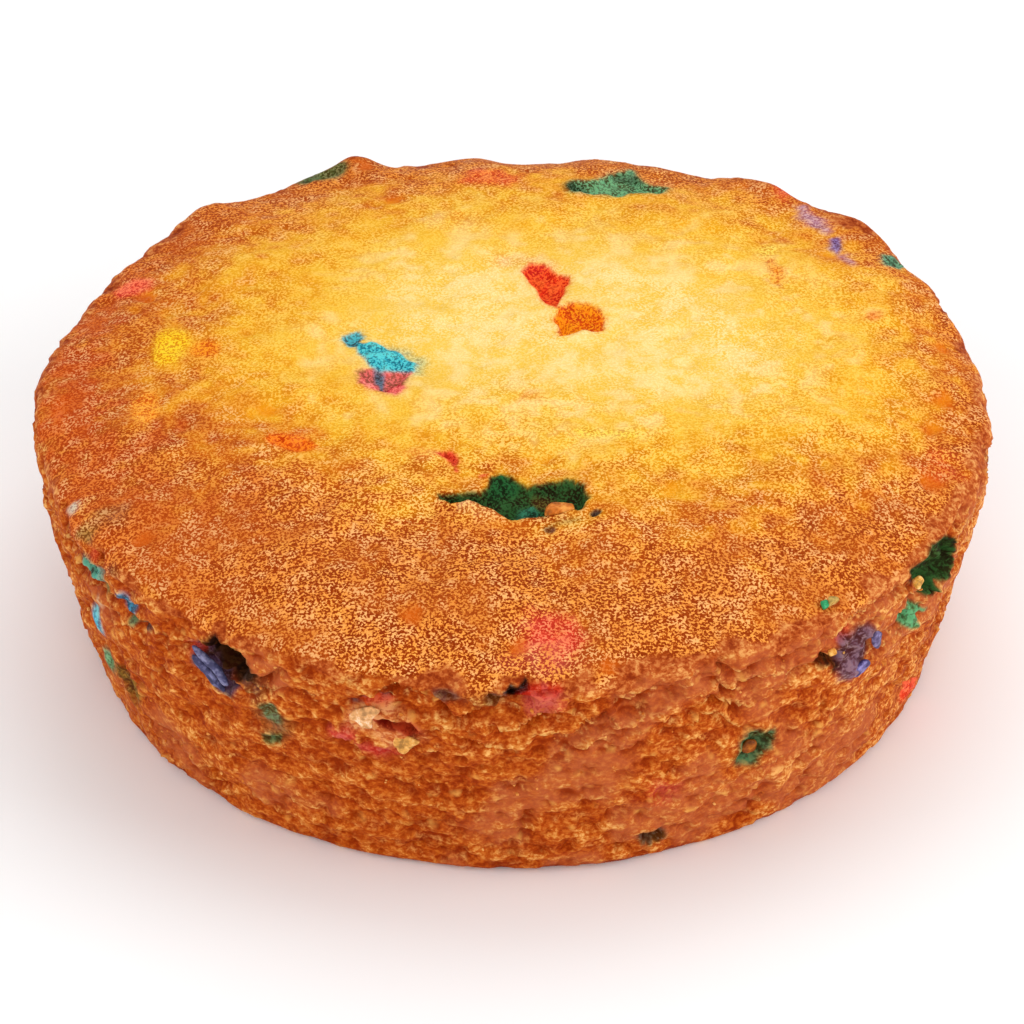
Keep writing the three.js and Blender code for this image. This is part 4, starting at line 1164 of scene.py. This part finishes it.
def crumb_scatterer(material):
    """Puts lumpy crumbs on a surface, thickest where its reading "crumbly" is high."""
    tree = bpy.data.node_groups.new("crumb_scatterer", "GeometryNodeTree")
    identifiers = {}
    for name, kind in (("Surface", "Geometry"), ("Density", "Float"), ("Smallest", "Float"),
                       ("Largest", "Float"), ("Seed", "Int")):
        socket = tree.interface.new_socket(name, in_out="INPUT", socket_type=f"NodeSocket{kind}")
        identifiers[name] = socket.identifier
    tree.interface.new_socket("Crumbs", in_out="OUTPUT", socket_type="NodeSocketGeometry")
    given = add(tree, "NodeGroupInput").outputs
    crumbly = add(tree, "GeometryNodeInputNamedAttribute", dict(data_type="FLOAT"),
                  {"Name": "crumbly"}).outputs["Attribute"]
    density = add(tree, "ShaderNodeMath", dict(operation="MULTIPLY"), {
        0: crumbly, 1: given["Density"]}).outputs[0]
    points = add(tree, "GeometryNodeDistributePointsOnFaces", inputs={
        "Mesh": given["Surface"], "Density": density, "Seed": given["Seed"]}).outputs["Points"]
    lump = add(tree, "GeometryNodeMeshIcoSphere", inputs={"Radius": 0.5, "Subdivisions": 1})
    turn = add(tree, "FunctionNodeRandomValue", dict(data_type="FLOAT_VECTOR"), {
        1: (math.tau, math.tau, math.tau), "Seed": given["Seed"]}).outputs[0]
    size = add(tree, "FunctionNodeRandomValue", dict(data_type="FLOAT"), {
        2: given["Smallest"], 3: given["Largest"]}).outputs[1]
    squash = add(tree, "FunctionNodeRandomValue", dict(data_type="FLOAT_VECTOR"), {
        0: (0.6, 0.6, 0.6), 1: (1.4, 1.4, 1.4)}).outputs[0]
    scale = add(tree, "ShaderNodeVectorMath", dict(operation="SCALE"), {
        0: squash, "Scale": size}).outputs[0]
    placed = add(tree, "GeometryNodeInstanceOnPoints", inputs={
        "Points": points, "Instance": lump.outputs["Mesh"], "Rotation": turn, "Scale": scale})
    real = add(tree, "GeometryNodeRealizeInstances", inputs={
        "Geometry": placed.outputs["Instances"]})
    finished = add(tree, "GeometryNodeSetMaterial", inputs={
        "Geometry": real.outputs["Geometry"], "Material": material})
    add(tree, "NodeGroupOutput", inputs={"Crumbs": finished.outputs["Geometry"]})
    return tree, identifiers


def loose_crumbs(cake):
    """The crumbs that cling to the cake's torn side, as one plain mesh."""
    tree, identifiers = crumb_scatterer(golden_crumb())
    modifier = cake.modifiers.new("crumbs", "NODES")
    modifier.node_group = tree
    for name, value in (("Density", CRUMBS_PER_MM2 / MM ** 2), ("Smallest", SMALLEST_CRUMB * MM),
                        ("Largest", LARGEST_CRUMB * MM), ("Seed", CRUMB_SEED)):
        modifier[identifiers[name]] = value
    evaluated = cake.evaluated_get(bpy.context.evaluated_depsgraph_get())
    mesh = bpy.data.meshes.new_from_object(evaluated)
    cake.modifiers.remove(modifier)
    mesh.name = "loose_crumbs"
    return in_scene("loose_crumbs", mesh)


# ---------------------------------------------------------------- floor, light and camera

CAMERA_DISTANCE = 562.5  # mm from the middle of the view
CAMERA_ELEVATION = 35    # degrees
VIEW_MIDDLE = (-0.14, 0, 11.87)
FOCAL_LENGTH, SENSOR_WIDTH = 207.8, 36    # mm
FLOOR_SIZE = 4           # metres
ROOM_LIGHT = 0.65
LIGHT_AIM = (0, 0, 0.015)

# Square soft boxes: name, size in metres, power in watts and place in metres.
SOFT_BOXES = [
    ("overhead_box", 0.6, 1.65, (0.1, 0.3, 0.7)),
    ("left_box", 0.4, 0.9, (-0.6, -0.1, 0.25)),
    ("right_box", 0.4, 1.6, (0.6, -0.1, 0.25)),
    ("front_box", 0.4, 1.1, (0.0, -0.6, 0.25)),
]


def pale_floor():
    """White photographic card."""
    bpy.ops.mesh.primitive_plane_add(size=FLOOR_SIZE)
    floor = bpy.context.object
    floor.name = "floor"
    material, tree, shader = new_material("white_card")
    fill(tree, shader, {"Base Color": (0.97, 0.97, 0.97, 1), "Roughness": 0.8})
    floor.data.materials.append(material)


def soft_box(name, size, power, place):
    light = bpy.data.lights.new(name, "AREA")
    light.size = size
    light.energy = power
    lamp = in_scene(name, light)
    lamp.location = place
    lamp.rotation_euler = (Vector(LIGHT_AIM) - Vector(place)).to_track_quat("-Z", "Y").to_euler()


def studio():
    pale_floor()
    for box in SOFT_BOXES:
        soft_box(*box)
    world = bpy.data.worlds.new("white_room")
    world.use_nodes = True
    tree = world.node_tree
    fill(tree, tree.nodes["Background"], {"Color": (1, 1, 1, 1), "Strength": ROOM_LIGHT})
    bpy.context.scene.world = world
    bpy.context.scene.view_settings.view_transform = "Standard"


def camera_like_photo():
    lens = bpy.data.cameras.new("camera")
    lens.lens = FOCAL_LENGTH
    lens.sensor_width = SENSOR_WIDTH
    camera = in_scene("camera", lens)
    rise = math.radians(CAMERA_ELEVATION)
    x, y, z = VIEW_MIDDLE
    camera.location = Vector((x, y - CAMERA_DISTANCE * math.cos(rise),
                              z + CAMERA_DISTANCE * math.sin(rise))) * MM
    camera.rotation_euler = (math.pi / 2 - rise, 0, 0)
    bpy.context.scene.camera = camera


# ---------------------------------------------------------------- the whole

camera_like_photo()
studio()

cake = confetti_cake()
cake.data.materials.append(baked_sponge())
pieces = [cake, loose_crumbs(cake)]
for name, on_side, hue, fleck, *form in FLAKES:
    piece = confetti_flake(name, on_side, *form)
    piece.data.materials.append(melted_confetti(name, hue, fleck))
    pieces.append(piece)
for piece in pieces:
    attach(piece, "root")
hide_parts("confetti_cake")
